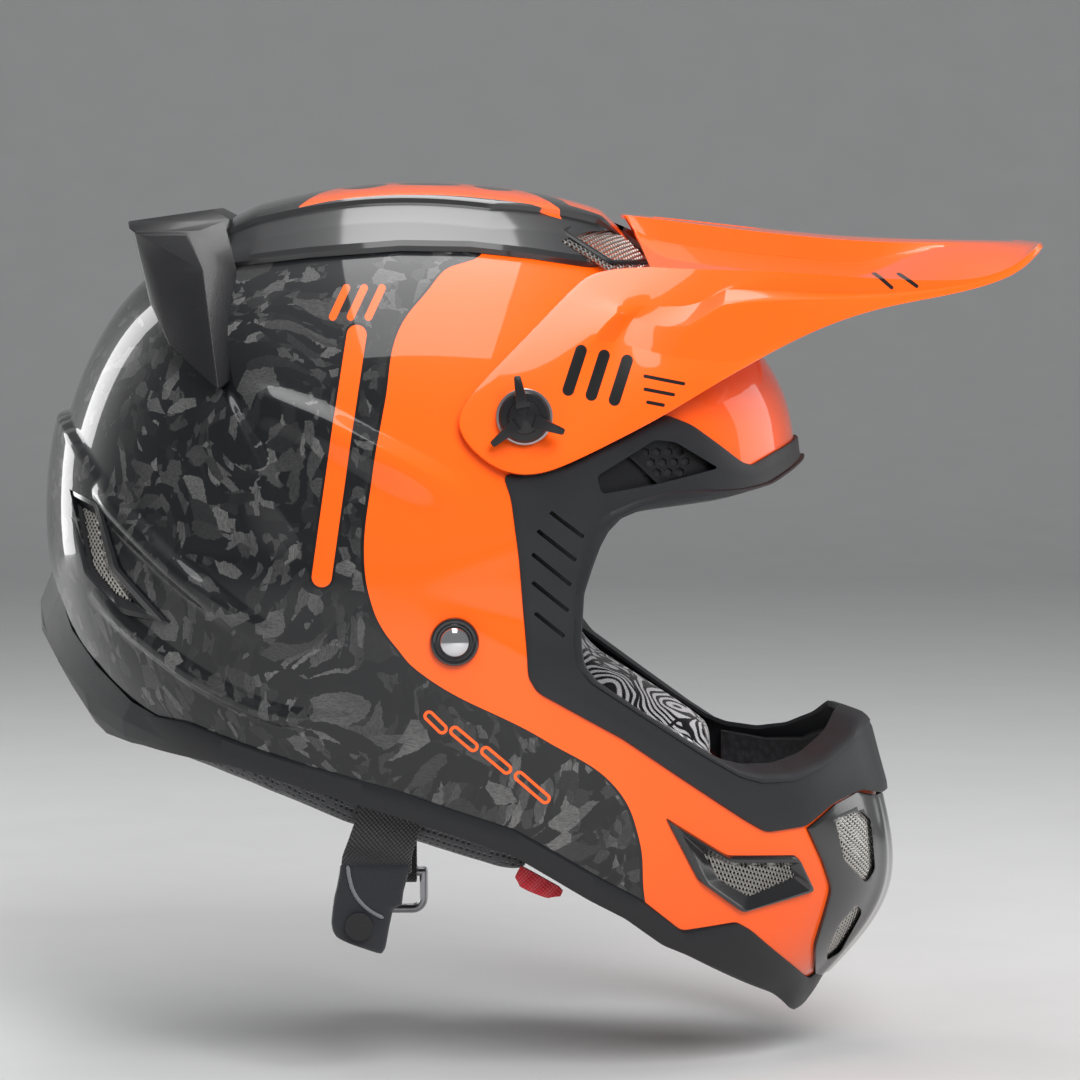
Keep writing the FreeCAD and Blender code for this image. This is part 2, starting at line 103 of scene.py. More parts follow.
MOUTH_WINDOW_UPPER = [(159, -75), (170, -73.5), (175, -78), (177, -99), (173, -104), (163, -92)]
MOUTH_WINDOW_LOWER = [(170, -113), (172, -117), (163.5, -134), (157.5, -137), (158, -130), (163, -119)]


# ---------------------------------------------------------------- form maths
def smooth_ring(rows, samples):
    """Points on the smooth closed curve through the given rows, and what each row carries."""
    count = len(rows)
    span = np.linalg.norm(np.roll(rows[:, :2], -1, 0) - rows[:, :2], axis=1)
    left, right = np.zeros((count, count)), np.zeros_like(rows)
    for i in range(count):
        after = (i + 1) % count
        left[i, i - 1] += span[i - 1]
        left[i, i] += 2 * (span[i - 1] + span[i])
        left[i, after] += span[i]
        right[i] = 6 * ((rows[after] - rows[i]) / span[i] - (rows[i] - rows[i - 1]) / span[i - 1])
    bend = np.linalg.solve(left, right)
    starts = np.concatenate([[0], np.cumsum(span)])
    at = np.linspace(0, starts[-1], samples, endpoint=False)
    i = np.clip(np.searchsorted(starts, at, side="right") - 1, 0, count - 1)
    after = (i + 1) % count
    a = ((starts[i + 1] - at) / span[i])[:, None]
    b = 1 - a
    curve = ((a ** 3 - a) * bend[i] + (b ** 3 - b) * bend[after]) * (span[i] ** 2 / 6)[:, None]
    return a * rows[i] + b * rows[after] + curve


RING = smooth_ring(PROFILE, 1600)
RING_ANGLE = np.arctan2(RING[:, 1] - EAR[1], RING[:, 0] - EAR[0])
RING_ORDER = np.argsort(RING_ANGLE)
RING_ANGLE = RING_ANGLE[RING_ORDER]
RING_REACH = np.hypot(RING[:, 0] - EAR[0], RING[:, 1] - EAR[1])[RING_ORDER]
RING_POWER = RING[RING_ORDER, 2]


def section_at(x, z):
    """The form's reach towards a side-view point, its roundness, and the point's own distance."""
    angle = np.arctan2(z - EAR[1], x - EAR[0])
    reach = np.interp(angle, RING_ANGLE, RING_REACH, period=2 * math.pi)
    power = np.interp(angle, RING_ANGLE, RING_POWER, period=2 * math.pi)
    return reach, power, np.hypot(x - EAR[0], z - EAR[1])


def project(points, offset=0.0):
    """Points moved straight out from the ear point until they lie on the form, raised by offset."""
    p = np.asarray(points, float)
    x, y, z = p[..., 0], p[..., 1], p[..., 2]
    reach, power, radius = section_at(x, z)
    inside = (radius / (reach + offset)) ** power + (np.abs(y) / (HALF_WIDTH + offset)) ** power
    grow = np.maximum(inside, 1e-9) ** (-1 / power)
    return np.stack([EAR[0] + (x - EAR[0]) * grow, y * grow, EAR[1] + (z - EAR[1]) * grow], -1)


def half_width(x, z, offset=0.0):
    """How far the form reaches out sideways at a side-view point."""
    reach, power, radius = section_at(np.asarray(x, float), np.asarray(z, float))
    left = np.clip(1 - (radius / (reach + offset)) ** power, 0, None)
    return (HALF_WIDTH + offset) * left ** (1 / power)


def on_side(outline, side=RIGHT, offset=0.0):
    """Side-view points placed on the form's surface on one side."""
    p = np.asarray(outline, float)
    return np.stack([p[:, 0], side * half_width(p[:, 0], p[:, 1], offset), p[:, 1]], -1)


def dense(points, step, closed=False):
    """The polyline with points added so that none are further apart than step."""
    p = np.asarray(points, float)
    if closed:
        p = np.vstack([p, p[:1]])
    parts = []
    for a, b in zip(p[:-1], p[1:]):
        count = max(1, int(math.ceil(np.linalg.norm(b - a) / step)))
        parts.append(a + (b - a) * (np.arange(count) / count)[:, None])
    if not closed:
        parts.append(p[-1:])
    return np.vstack(parts)


def resample(points, count):
    """The polyline as count points, evenly spaced along it."""
    p = np.asarray(points, float)
    along = np.concatenate([[0], np.cumsum(np.linalg.norm(np.diff(p, axis=0), axis=1))])
    at = np.linspace(0, along[-1], count)
    return np.stack([np.interp(at, along, p[:, k]) for k in range(p.shape[1])], -1)


def rounded(outline, radius, closed=True, steps=4):
    """The outline with each corner turned into a short curve."""
    p = np.asarray(outline, float)
    count, result = len(p), []
    for i in range(count):
        if not closed and i in (0, count - 1):
            result.append(p[i])
            continue
        before, after = p[i - 1] - p[i], p[(i + 1) % count] - p[i]
        reach_b = min(radius, 0.45 * np.linalg.norm(before))
        reach_a = min(radius, 0.45 * np.linalg.norm(after))
        a = p[i] + before / np.linalg.norm(before) * reach_b
        b = p[i] + after / np.linalg.norm(after) * reach_a
        for k in range(steps + 1):
            t = k / steps
            result.append(a * (1 - t) ** 2 + 2 * p[i] * t * (1 - t) + b * t ** 2)
    return np.array(result)


def grown(outline, by):
    """The closed outline with every edge moved out, corners mitred."""
    p = np.asarray(outline, float)
    after = np.roll(p, -1, 0)
    turn = 1.0 if np.sum(p[:, 0] * after[:, 1] - after[:, 0] * p[:, 1]) > 0 else -1.0
    edge = after - p
    normal = np.stack([edge[:, 1], -edge[:, 0]], -1) * turn
    normal /= np.linalg.norm(normal, axis=1)[:, None]
    corner = normal + np.roll(normal, 1, 0)
    return p + corner * (2 * by / np.maximum((corner ** 2).sum(1), 0.8))[:, None]


def mirrored_loop(half):
    """A loop from its right half, whose first and last points are on the middle plane."""
    left = half[1:-1][::-1] * np.array([1, -1, 1])
    return np.vstack([half, left])


# ---------------------------------------------------------------- mesh tools
def clear_selection():
    if bpy.context.object and bpy.context.object.mode != "OBJECT":
        bpy.ops.object.mode_set(mode="OBJECT")
    bpy.ops.object.select_all(action="DESELECT")


def make_active(piece):
    clear_selection()
    piece.hide_set(False)
    piece.select_set(True)
    bpy.context.view_layer.objects.active = piece


def edit(piece):
    make_active(piece)
    bpy.ops.object.mode_set(mode="EDIT")
    bpy.ops.mesh.select_all(action="SELECT")


def done():
    bpy.ops.object.mode_set(mode="OBJECT")


def named(name):
    piece = bpy.context.object
    piece.name = name
    piece.data.name = name
    return piece


def apply_modifiers(piece):
    make_active(piece)
    for modifier in list(piece.modifiers):
        bpy.ops.object.modifier_apply(modifier=modifier.name)
    return piece


def add_modifier(piece, kind, **settings):
    modifier = piece.modifiers.new(kind.lower(), kind)
    for key, value in settings.items():
        setattr(modifier, key, value)
    return apply_modifiers(piece)


def close_ends(piece):
    """Fills every open edge loop and turns the faces outwards."""
    edit(piece)
    bpy.ops.mesh.fill_holes(sides=0)
    bpy.ops.mesh.select_all(action="SELECT")
    bpy.ops.mesh.normals_make_consistent(inside=False)
    done()


def face_outwards(piece, merge=0.00001):
    edit(piece)
    bpy.ops.mesh.remove_doubles(threshold=merge)
    bpy.ops.mesh.normals_make_consistent(inside=False)
    done()
    return piece


def smooth(piece, degrees=35):
    make_active(piece)
    bpy.ops.object.shade_smooth_by_angle(angle=math.radians(degrees))
    return piece


def lattice(name, rows, close_rows=False, close_columns=False):
    """A grid primitive laid over rows of points in millimetres, its ends joined where asked."""
    rows = np.asarray(rows, float)
    if close_columns:
        rows = np.concatenate([rows, rows[:, :1]], 1)
    if close_rows:
        rows = np.concatenate([rows, rows[:1]], 0)
    clear_selection()
    bpy.ops.mesh.primitive_grid_add(x_subdivisions=rows.shape[1] - 1, y_subdivisions=rows.shape[0] - 1)
    piece = named(name)
    piece.data.vertices.foreach_set("co", (rows.reshape(-1, 3) * MM).ravel())
    piece.data.update()
    if close_rows or close_columns:
        face_outwards(piece)
    return piece


def prism(name, outline, low, high, upright=False):
    """An outline pushed from low to high: a side view along Y, or upright, a top view along Z."""
    p = np.asarray(outline, float)
    clear_selection()
    bpy.ops.mesh.primitive_circle_add(vertices=len(p), fill_type="NGON")
    piece = named(name)
    across = np.full(len(p), low)
    flat = np.stack([p[:, 0], p[:, 1], across] if upright else [p[:, 0], across, p[:, 1]], -1) * MM
    piece.data.vertices.foreach_set("co", flat.ravel())
    rise = (high - low) * MM
    edit(piece)
    bpy.ops.mesh.extrude_region_move(
        TRANSFORM_OT_translate={"value": (0, 0, rise) if upright else (0, rise, 0)})
    bpy.ops.mesh.select_all(action="SELECT")
    bpy.ops.mesh.normals_make_consistent(inside=False)
    done()
    return piece


def cut(piece, tools, operation="DIFFERENCE", solver="MANIFOLD"):
    """Cuts the piece with each closed tool, which is used up."""
    for tool in tools:
        add_modifier(piece, "BOOLEAN", object=tool, operation=operation, solver=solver)
        bpy.data.objects.remove(tool)
    return piece


def through(outline):
    return prism("tool", outline, -200, 200)


def join(name, pieces):
    clear_selection()
    for piece in pieces:
        piece.select_set(True)
    bpy.context.view_layer.objects.active = pieces[0]
    if len(pieces) > 1:
        bpy.ops.object.join()
    return named(name)


def finish_piece(piece, material, body, replaces=()):
    """Material, body and the CAD nodes it stands for."""
    if material:
        piece.data.materials.clear()
        piece.data.materials.append(material)
    if body:
        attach(piece, body)
    if replaces:
        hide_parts(*replaces)
    return piece


def band(name, outer, inner, section):
    """A closed strip between two loops; section is its outline as (share across, height) points."""
    outer, inner = np.asarray(outer, float), np.asarray(inner, float)
    rows = [project(outer + (inner - outer) * share, height) for share, height in section]
    return lattice(name, rows, close_rows=True, close_columns=True)


def points_of(piece):
    """The mesh's vertices in millimetres."""
    p = np.empty(len(piece.data.vertices) * 3)
    piece.data.vertices.foreach_get("co", p)
    return p.reshape(-1, 3) / MM


def move_points(piece, points):
    piece.data.vertices.foreach_set("co", (np.asarray(points) * MM).ravel())
    piece.data.update()


def face_centres(piece):
    p = np.empty(len(piece.data.polygons) * 3)
    piece.data.polygons.foreach_get("center", p)
    return p.reshape(-1, 3) / MM


def edit_faces(piece, chosen):
    """Opens the piece for editing with only the chosen faces selected."""
    edit(piece)
    bpy.context.tool_settings.mesh_select_mode = (False, False, True)
    bpy.ops.mesh.select_all(action="DESELECT")
    done()
    piece.data.polygons.foreach_set("select", np.asarray(chosen, bool))
    bpy.ops.object.mode_set(mode="EDIT")


CUBE_REACH = (165, 125, 150)


def cube_form(name, cells, height, detail, reach):
    """The whole form as a closed mesh of even squares, finer where detail is under reach."""
    clear_selection()
    bpy.ops.mesh.primitive_cube_add(size=2)
    piece = named(name)
    edit(piece)
    bpy.ops.mesh.subdivide(number_cuts=cells - 1)
    done()
    even = np.tan(points_of(piece) * MM * math.pi / 4)
    move_points(piece, project(even * np.array(CUBE_REACH) + MIDDLE))
    edit_faces(piece, detail(face_centres(piece)) < reach)
    bpy.ops.mesh.subdivide(number_cuts=2)
    done()
    p = project(points_of(piece))
    move_points(piece, project(p, height(p)))
    return piece


def lathe(name, profile, side, centre, turns=48):
    """A turned part whose axis runs along Y: profile is (radius, distance from the middle plane)."""
    angle = np.linspace(0, 2 * math.pi, turns, endpoint=False)
    rows = [np.stack([centre[0] + r * np.cos(angle), np.full(turns, side * y),
                      centre[1] + r * np.sin(angle)], -1) for r, y in profile]
    piece = lattice(name, rows, close_columns=True)
    return face_outwards(piece)


def hull(name, points):
    """The faceted solid stretched over a few points."""
    p = np.asarray(points, float)
    clear_selection()
    bpy.ops.mesh.primitive_circle_add(vertices=len(p))
    piece = named(name)
    move_points(piece, p)
    edit(piece)
    bpy.ops.mesh.convex_hull()
    bpy.ops.mesh.select_all(action="SELECT")
    bpy.ops.mesh.dissolve_limited(angle_limit=math.radians(2))
    done()
    return face_outwards(piece)


def bevelled(piece, width, segments=2, degrees=25):
    return add_modifier(piece, "BEVEL", width=width * MM, segments=segments, limit_method="ANGLE",
                        angle_limit=math.radians(degrees), harden_normals=False)


# ---------------------------------------------------------------- shader kit
class Value:
    """One socket of a material, with Python's operators for its maths."""

    def __init__(self, shader, socket):
        self.shader, self.socket = shader, socket

    def _sum(self, operation, *inputs):
        return self.shader.add("ShaderNodeMath", {"operation": operation}, dict(enumerate(inputs)))

    def __add__(self, other):
        return self._sum("ADD", self, other)

    def __radd__(self, other):
        return self._sum("ADD", other, self)

    def __sub__(self, other):
        return self._sum("SUBTRACT", self, other)

    def __rsub__(self, other):
        return self._sum("SUBTRACT", other, self)

    def __mul__(self, other):
        return self._sum("MULTIPLY", self, other)

    def __rmul__(self, other):
        return self._sum("MULTIPLY", other, self)

    def __truediv__(self, other):
        return self._sum("DIVIDE", self, other)

    def __gt__(self, other):
        return self._sum("GREATER_THAN", self, other)

    def __lt__(self, other):
        return self._sum("LESS_THAN", self, other)

    def __abs__(self):
        return self._sum("ABSOLUTE", self)

    def least(self, other):
        return self._sum("MINIMUM", self, other)

    def most(self, other):
        return self._sum("MAXIMUM", self, other)

    def sine(self):
        return self._sum("SINE", self)

    def root(self):
        return self._sum("SQRT", self)

    def clipped(self):
        return self.shader.add("ShaderNodeClamp", {}, {0: self})


class Shader:
    """A material being built round one Principled BSDF."""

    def __init__(self, name, **constants):
        self.material = bpy.data.materials.new(name)
        self.material.use_nodes = True
        self.tree = self.material.node_tree
        self.surface = self.tree.nodes["Principled BSDF"]
        for key, value in constants.items():
            socket = self.surface.inputs[key.replace("_", " ").title().replace("Ior", "IOR")]
            socket.default_value = (*value, 1) if isinstance(value, tuple) else value

    def add(self, kind, settings=None, inputs=None, output=0):
        """Any node: its settings first, then the values or links of its sockets."""
        node = self.tree.nodes.new(kind)
        for key, value in (settings or {}).items():
            if key == "stops":
                self._stops(node.color_ramp, value)
            else:
                setattr(node, key, value)
        for key, value in (inputs or {}).items():
            if isinstance(value, Value):
                self.tree.links.new(value.socket, node.inputs[key])
            else:
                node.inputs[key].default_value = value
        return Value(self, node.outputs[output])

    @staticmethod
    def _stops(ramp, stops):
        while len(ramp.elements) < len(stops):
            ramp.elements.new(1.0)
        for element, (position, colour) in zip(ramp.elements, stops):
            element.position = position
            element.color = (*colour, 1) if isinstance(colour, tuple) else (colour, colour, colour, 1)

    def set(self, **links):
        for key, value in links.items():
            self.tree.links.new(value.socket, self.surface.inputs[key.replace("_", " ")])
        return self

    def place(self, scale=1000.0, stretch=(1, 1, 1), turn=(0, 0, 0)):
        """Object coordinates in millimetres, stretched and turned."""
        point = self.add("ShaderNodeTexCoord", output=3)
        return self.add("ShaderNodeMapping", {}, {
            "Vector": point, "Scale": tuple(scale * s for s in stretch), "Rotation": turn})

    def parts(self, vector):
        node = self.tree.nodes.new("ShaderNodeSeparateXYZ")
        self.tree.links.new(vector.socket, node.inputs[0])
        return [Value(self, node.outputs[k]) for k in range(3)]

    def noise(self, vector, scale, detail=3.0, roughness=0.5, output=0):
        return self.add("ShaderNodeTexNoise", {}, {
            "Vector": vector, "Scale": scale, "Detail": detail, "Roughness": roughness}, output)

    def cells(self, vector, scale, output=1, feature="F1", randomness=1.0):
        return self.add("ShaderNodeTexVoronoi", {"feature": feature}, {
            "Vector": vector, "Scale": scale, "Randomness": randomness}, output)

    def ramp(self, factor, stops):
        return self.add("ShaderNodeValToRGB", {"stops": stops}, {0: factor})

    def mix(self, factor, a, b):
        """A colour mix; a and b are colours or links."""
        def colour(value):
            return (*value, 1) if isinstance(value, tuple) and len(value) == 3 else value
        return self.add("ShaderNodeMix", {"data_type": "RGBA"}, {
            0: factor, 6: colour(a), 7: colour(b)}, 2)

    def vector(self, operation, a, b=None, scale=None):
        inputs = {0: a}
        if b is not None:
            inputs[1] = b
        if scale is not None:
            inputs["Scale"] = scale
        return self.add("ShaderNodeVectorMath", {"operation": operation}, inputs)

    def bump(self, height, distance):
        """Distance is in millimetres."""
        return self.add("ShaderNodeBump", {}, {
            "Height": height, "Distance": distance * MM, "Strength": 1.0})

    def segment(self, x, z, start, end, half, soft=0.15):
        """1 within half of the line from start to end in side view, 0 outside."""
        dx, dz = end[0] - start[0], end[1] - start[1]
        length = math.hypot(dx, dz)
        ux, uz = dx / length, dz / length
        along = (x - start[0]) * ux + (z - start[1]) * uz
        across = (x - start[0]) * -uz + (z - start[1]) * ux
        beyond = along - along.most(0.0).least(length)
        gap = (beyond * beyond + across * across).root()
        return ((half - gap) / soft + 0.5).clipped()

    def soft_step(self, value, edge, soft=0.15):
        """0 where value is under edge, 1 where it is over."""
        return ((value - edge) / soft + 0.5).clipped()


# ---------------------------------------------------------------- materials
ORANGE = (1.0, 0.108, 0.003)
EDGE_SPAN = 400
ORANGE_EDGE = [
    # height and how far forward the orange begins
    (-175, 118), (-141, 94), (-117, 85), (-100, 82), (-78, 80), (-57, 71), (-37, 43), (-8, -8),
    (-1, -14), (7, -20), (16, -24), (34, -27), (65, -24), (95, -19), (122, -14), (137, -3),
    (146, 5), (150, 17), (175, 22),
]
STRIPE = ((-30.5, 120), (-43.5, 27))
STRIPE_HALF = 3.9
SIDE_OVALS = [((-2, -27), (3, -32)), ((8, -33), (15, -39)), ((20, -41), (28, -48)), ((33, -51), (43, -60))]
REAR_BAR_X = (-40, -33, -26)

FLAKE_LAYERS = [
    # flake size, its shape along the fibres, how the layer is turned
    (5.6, (1.0, 1.0, 0.5), (0.0, 0.45, 0.0)),
    (4.8, (1.0, 1.0, 0.6), (0.5, -0.6, 0.3)),
    (4.2, (1.0, 1.0, 0.65), (-0.3, 1.35, 0.5)),
    (6.4, (0.6, 1.0, 1.0), (0.2, 0.1, -0.4)),
]


def carbon_grey(s, point):
    """Forged carbon: straight-sided chopped flakes over each other, few bright, finely streaked, under
    broad patches of painted shading and sheen.
    """
    ragged = s.vector("SUBTRACT", s.noise(point, 0.45, 2.0, output=1), (0.5, 0.5, 0.5))
    bent = s.vector("ADD", point, s.vector("SCALE", ragged, scale=1.4))
    swirl = s.vector("SUBTRACT", s.noise(point, 0.018, 1.0, output=1), (0.5, 0.5, 0.5))
    bent = s.vector("ADD", bent, s.vector("SCALE", swirl, scale=45.0))
    total = None
    for size, stretch, turn in FLAKE_LAYERS:
        spot = s.add("ShaderNodeMapping", {}, {"Vector": bent, "Scale": stretch, "Rotation": turn})
        red, green, _ = s.parts(s.cells(spot, 1 / size))
        fibres = s.add("ShaderNodeMapping", {}, {
            "Vector": point, "Scale": tuple(1.9 * c ** 2.5 for c in stretch), "Rotation": turn})
        streak = s.noise(fibres, 0.9, 3.0, 0.6)
        tone = s.ramp(red, [(0.0, 0.0), (0.42, 0.02), (0.62, 0.13), (0.86, 0.42), (1.0, 1.0)])
        layer = tone * (streak * 1.7 - 0.1).clipped()
        total = layer if total is None else total * (green < 0.6) + layer * (green > 0.59999)
    # Broad noise lightens and darkens whole patches of flakes: painted shading and sheen, as if the flakes
    # were tilted towards or away from the light.
    painted_tilt_shading = s.noise(point, 0.02, 2.0)
    return total * (painted_tilt_shading * 1.7 - 0.1).clipped()


def shell_material():
    s = Shader("forged_carbon_and_orange", coat_weight=1.0, coat_roughness=0.03, coat_ior=1.42,
               roughness=0.4, specular_ior_level=0.25)
    point = s.place()
    x, _, z = s.parts(point)
    grey = carbon_grey(s, point)
    carbon = s.mix(grey.clipped(), (0.0035, 0.0040, 0.0050), (0.150, 0.148, 0.145))
    edge_points = sorted((high / EDGE_SPAN + 0.5, along / EDGE_SPAN + 0.5) for high, along in ORANGE_EDGE)
    curve = s.tree.nodes.new("ShaderNodeFloatCurve")
    line = curve.mapping.curves[0]
    for high, along in edge_points[1:-1]:
        line.points.new(high, along)
    line.points[0].location = edge_points[0]
    line.points[-1].location = edge_points[-1]
    curve.mapping.update()
    s.tree.links.new((z / EDGE_SPAN + 0.5).socket, curve.inputs["Value"])
    edge = Value(s, curve.outputs[0]) * EDGE_SPAN - EDGE_SPAN / 2
    orange = s.soft_step(x - edge, 0.0)
    outline = s.soft_step(x - edge, -1.3)
    stripe = s.segment(x, z, *STRIPE, STRIPE_HALF)
    stripe_line = s.segment(x, z, *STRIPE, STRIPE_HALF + 1.0)
    paint = orange.most(stripe)
    for start, end in SIDE_OVALS:
        bar = s.segment(x, z, start, end, 2.2) - s.segment(x, z, start, end, 1.0)
        paint = paint.most(bar.clipped())
    for start in REAR_BAR_X:
        paint = paint.most(s.segment(x, z, (start, 127), (start + 5, 138), 1.5))
    black = outline.most(stripe_line)
    base = s.mix(black, carbon, (0.004, 0.004, 0.004))
    base = s.mix(paint, base, ORANGE)
    rough = 0.42 - grey.clipped() * 0.14
    return s.set(Base_Color=base, Roughness=rough).material


def orange_material():
    s = Shader("orange_peak_paint", coat_weight=1.0, coat_roughness=0.05,
               coat_ior=1.42, roughness=0.42, specular_ior_level=0.3)
    point = s.place()
    x, y, z = s.parts(point)
    black = None
    for start, end in (((52, 99), (57, 114)), ((61, 97), (66, 112)), ((70, 95), (75, 110))):
        bar = s.segment(x, z, start, end, 2.3)
        black = bar if black is None else black.most(bar)
    for start, end in (((82, 104), (97, 101)), ((82, 99), (93, 96.8)), ((83, 94), (89, 92.8))):
        black = black.most(s.segment(x, z, start, end, 0.7))
    for start, end in (((173, 143.6), (179.5, 138)), ((183, 143.2), (189.5, 138.5))):
        black = black.most(s.segment(x, z, start, end, 0.75) * s.soft_step(abs(y), 65.0))
    tone = s.noise(point, 0.02, 2.0)
    base = s.mix(tone * 0.25, ORANGE, (0.95, 0.10, 0.002))
    base = s.mix(black, base, (0.006, 0.006, 0.006))
    peel = s.noise(point, 0.6, 1.0)
    return s.set(Base_Color=base, Normal=s.bump(peel, 0.01)).material


def moulded_material(name, colour, roughness, coat=0.0, grain=0.05):
    """Moulded plastic or rubber with a fine leather-like grain."""
    s = Shader(name, coat_weight=coat, coat_roughness=0.12, roughness=roughness)
    point = s.place()
    fine = s.cells(point, 1.5, output=0, feature="F1")
    broad = s.noise(point, 0.05, 3.0)
    base = s.mix(broad, tuple(c * 0.8 for c in colour), tuple(c * 1.25 for c in colour))
    rough = roughness - 0.06 + broad * 0.12
    return s.set(Base_Color=base, Roughness=rough, Normal=s.bump(fine, grain)).material


def metal_material(name, colour, roughness, scratches=0.03):
    s = Shader(name, metallic=1.0, roughness=roughness)
    point = s.place(stretch=(1, 1, 0.1))
    lines = s.noise(point, 3.0, 4.0, 0.7)
    base = s.mix(lines, tuple(c * 0.85 for c in colour), colour)
    return s.set(Base_Color=base, Roughness=roughness - 0.05 + lines * 0.12,
                 Normal=s.bump(lines, scratches)).material


def fairing_material():
    """Black with an orange panel on top, its ends slanted, that holds rounded black shapes."""
    s = Shader("crown_fairing_black_and_orange", coat_weight=1.0, coat_roughness=0.08, roughness=0.4)
    x, y, _ = s.parts(s.place())
    side = abs(y)
    panel = s.soft_step(44 - side, 0.0) * s.soft_step(x + side * 0.35, -40.0)
    panel = panel * s.soft_step(30 + side * 0.45 - x, 0.0)
    holes = None
    for middle, across, length, width in ((-30, 14, 9, 12), (-4, 13, 13, 10), (22, 14, 8, 11)):
        reach = ((x - middle) * (x - middle) / length ** 2
                 + (side - across) * (side - across) / width ** 2).root()
        hole = s.soft_step(reach, 1.0, 0.03)
        holes = hole if holes is None else holes * hole
    nose = s.soft_step(x - side * 0.3, 44.0) * s.soft_step(30 - side, 0.0)
    base = s.mix((panel * holes).most(nose), (0.012, 0.012, 0.013), ORANGE)
    return s.set(Base_Color=base).material


def weave_material(name, colour, pitch, depth, sheen=0.4, roughness=0.85):
    """Plain woven cloth on object coordinates."""
    s = Shader(name, roughness=roughness, sheen_weight=sheen, sheen_roughness=0.5)
    point = s.place()
    x, y, z = s.parts(point)
    turn = 2 * math.pi / pitch
    over = ((x + y * 0.4) * turn).sine() * ((z + y * 0.3) * turn).sine()
    fuzz = s.noise(point, 1.2, 3.0)
    base = s.mix((over * 0.4 + 0.5 + fuzz * 0.2).clipped(), tuple(c * 0.55 for c in colour), colour)
    return s.set(Base_Color=base, Normal=s.bump(over + fuzz * 0.5, depth)).material


def spacer_mesh_material():
    """Open 3-D mesh cloth: rows of staggered holes."""
    s = Shader("spacer_mesh_cloth", roughness=0.8, sheen_weight=0.3)
    point = s.place(turn=(0, -0.33, 0))
    hole = s.cells(point, 0.42, output=0, randomness=0.15)
    dark = s.soft_step(hole, 0.36, 0.15)
    base = s.mix(dark, (0.004, 0.004, 0.005), (0.055, 0.056, 0.06))
    return s.set(Base_Color=base, Normal=s.bump(dark, 0.8)).material


def printed_cloth_material():
    """Cheek pad cloth: leaf-like patches of fine pale arcs on black, over a knit."""
    pitch, patch = 2.3, 26.0
    s = Shader("printed_pad_cloth", roughness=0.85, sheen_weight=0.3)
    point = s.place()
    x, _, z = s.parts(point)
    wander = s.vector("SUBTRACT", s.noise(point, 0.05, 1.0, output=1), (0.5, 0.5, 0.5))
    bent = s.vector("ADD", point, s.vector("SCALE", wander, scale=18.0))
    ring = s.cells(bent, 1 / patch, output=0)
    pick, _, _ = s.parts(s.cells(bent, 1 / patch))
    rings = (ring * (2 * math.pi * patch / pitch)).sine()
    bx, _, bz = s.parts(bent)
    slants = ((bx * 0.8 + bz * 0.6) * (2 * math.pi / pitch)).sine()
    lines = rings * (pick < 0.6) + slants * (pick > 0.59999)
    edge = s.cells(bent, 1 / patch, output=0, feature="DISTANCE_TO_EDGE")
    white = s.soft_step(lines, 0.0, 0.5) * s.soft_step(edge, 0.025, 0.01)
    knit = (x * 6.0).sine() * (z * 6.0).sine()
    base = s.mix(white, (0.010, 0.010, 0.012), (0.62, 0.62, 0.64))
    return s.set(Base_Color=base, Normal=s.bump(knit, 0.12)).material


def foam_material():
    s = Shader("bead_foam", roughness=0.75)
    point = s.place()
    bead = s.cells(point, 0.33, output=0, feature="F1")
    base = s.mix(bead, (0.03, 0.03, 0.033), (0.012, 0.012, 0.013))
    return s.set(Base_Color=base, Normal=s.bump(1 - bead, 0.3)).material


MATERIALS = {
    "shell": shell_material(),
    "peak": orange_material(),
    "fairing": fairing_material(),
    "trim": moulded_material("trim_rubber_grain", (0.0135, 0.0145, 0.0165), 0.5),
    "rim": moulded_material("rim_rubber_grain", (0.008, 0.0085, 0.010), 0.46),
    "black": moulded_material("black_plastic_grain", (0.006, 0.006, 0.007), 0.42, 0.15),
    "gloss": moulded_material("gloss_black_plastic", (0.006, 0.006, 0.007), 0.25, 1.0, 0.004),
    "wire": metal_material("steel_wire", (0.62, 0.60, 0.56), 0.35),
    "chrome": metal_material("polished_steel", (0.8, 0.8, 0.82), 0.12, 0.004),
    "ring": metal_material("brushed_steel", (0.5, 0.5, 0.52), 0.32),
    "brass": metal_material("brass", (0.72, 0.52, 0.24), 0.35),
    "foam": foam_material(),
    "print": printed_cloth_material(),
    "spacer": spacer_mesh_material(),
    "cloth": weave_material("liner_cloth", (0.035, 0.035, 0.04), 1.1, 0.12),
    "webbing": weave_material("strap_webbing", (0.02, 0.02, 0.022), 1.6, 0.3),
    "piping": weave_material("sleeve_piping_cloth", (0.16, 0.165, 0.18), 0.8, 0.06),
    "sleeve": weave_material("strap_sleeve_cloth", (0.018, 0.019, 0.024), 0.9, 0.08, 0.2, 0.6),
    "red": weave_material("red_webbing", (0.62, 0.015, 0.03), 1.6, 0.25),
}


# ---------------------------------------------------------------- shell
BLADES = [
    # side-view line, height, flat half width, flank width above it, flank width below it
    ([(-84, 101), (-76, 87), (-63, 62), (-50, 37)], 3.0, 0.3, 3.2, 20.0),
    ([(-82, 98), (-62, 93.5), (-44, 87), (-26, 77.5), (-4, 66.5), (18, 54)], 3.6, 0.9, 6.4, 14.0),
    ([(-140, 66), (-121, 47), (-100, 28), (-76, 10), (-57, -1)], 3.6, 1.2, 4.2, 7.0),
    ([(-140, 20), (-122, 6), (-92, -15), (-62, -28), (-40, -29), (-20, -29)], 3.0, 1.0, 3.0, 4.6),
]


REAR_PANEL_EDGE = [(-165, 97), (-150, 84), (-128, 56)]
REAR_PANEL_HEIGHT = 5.0


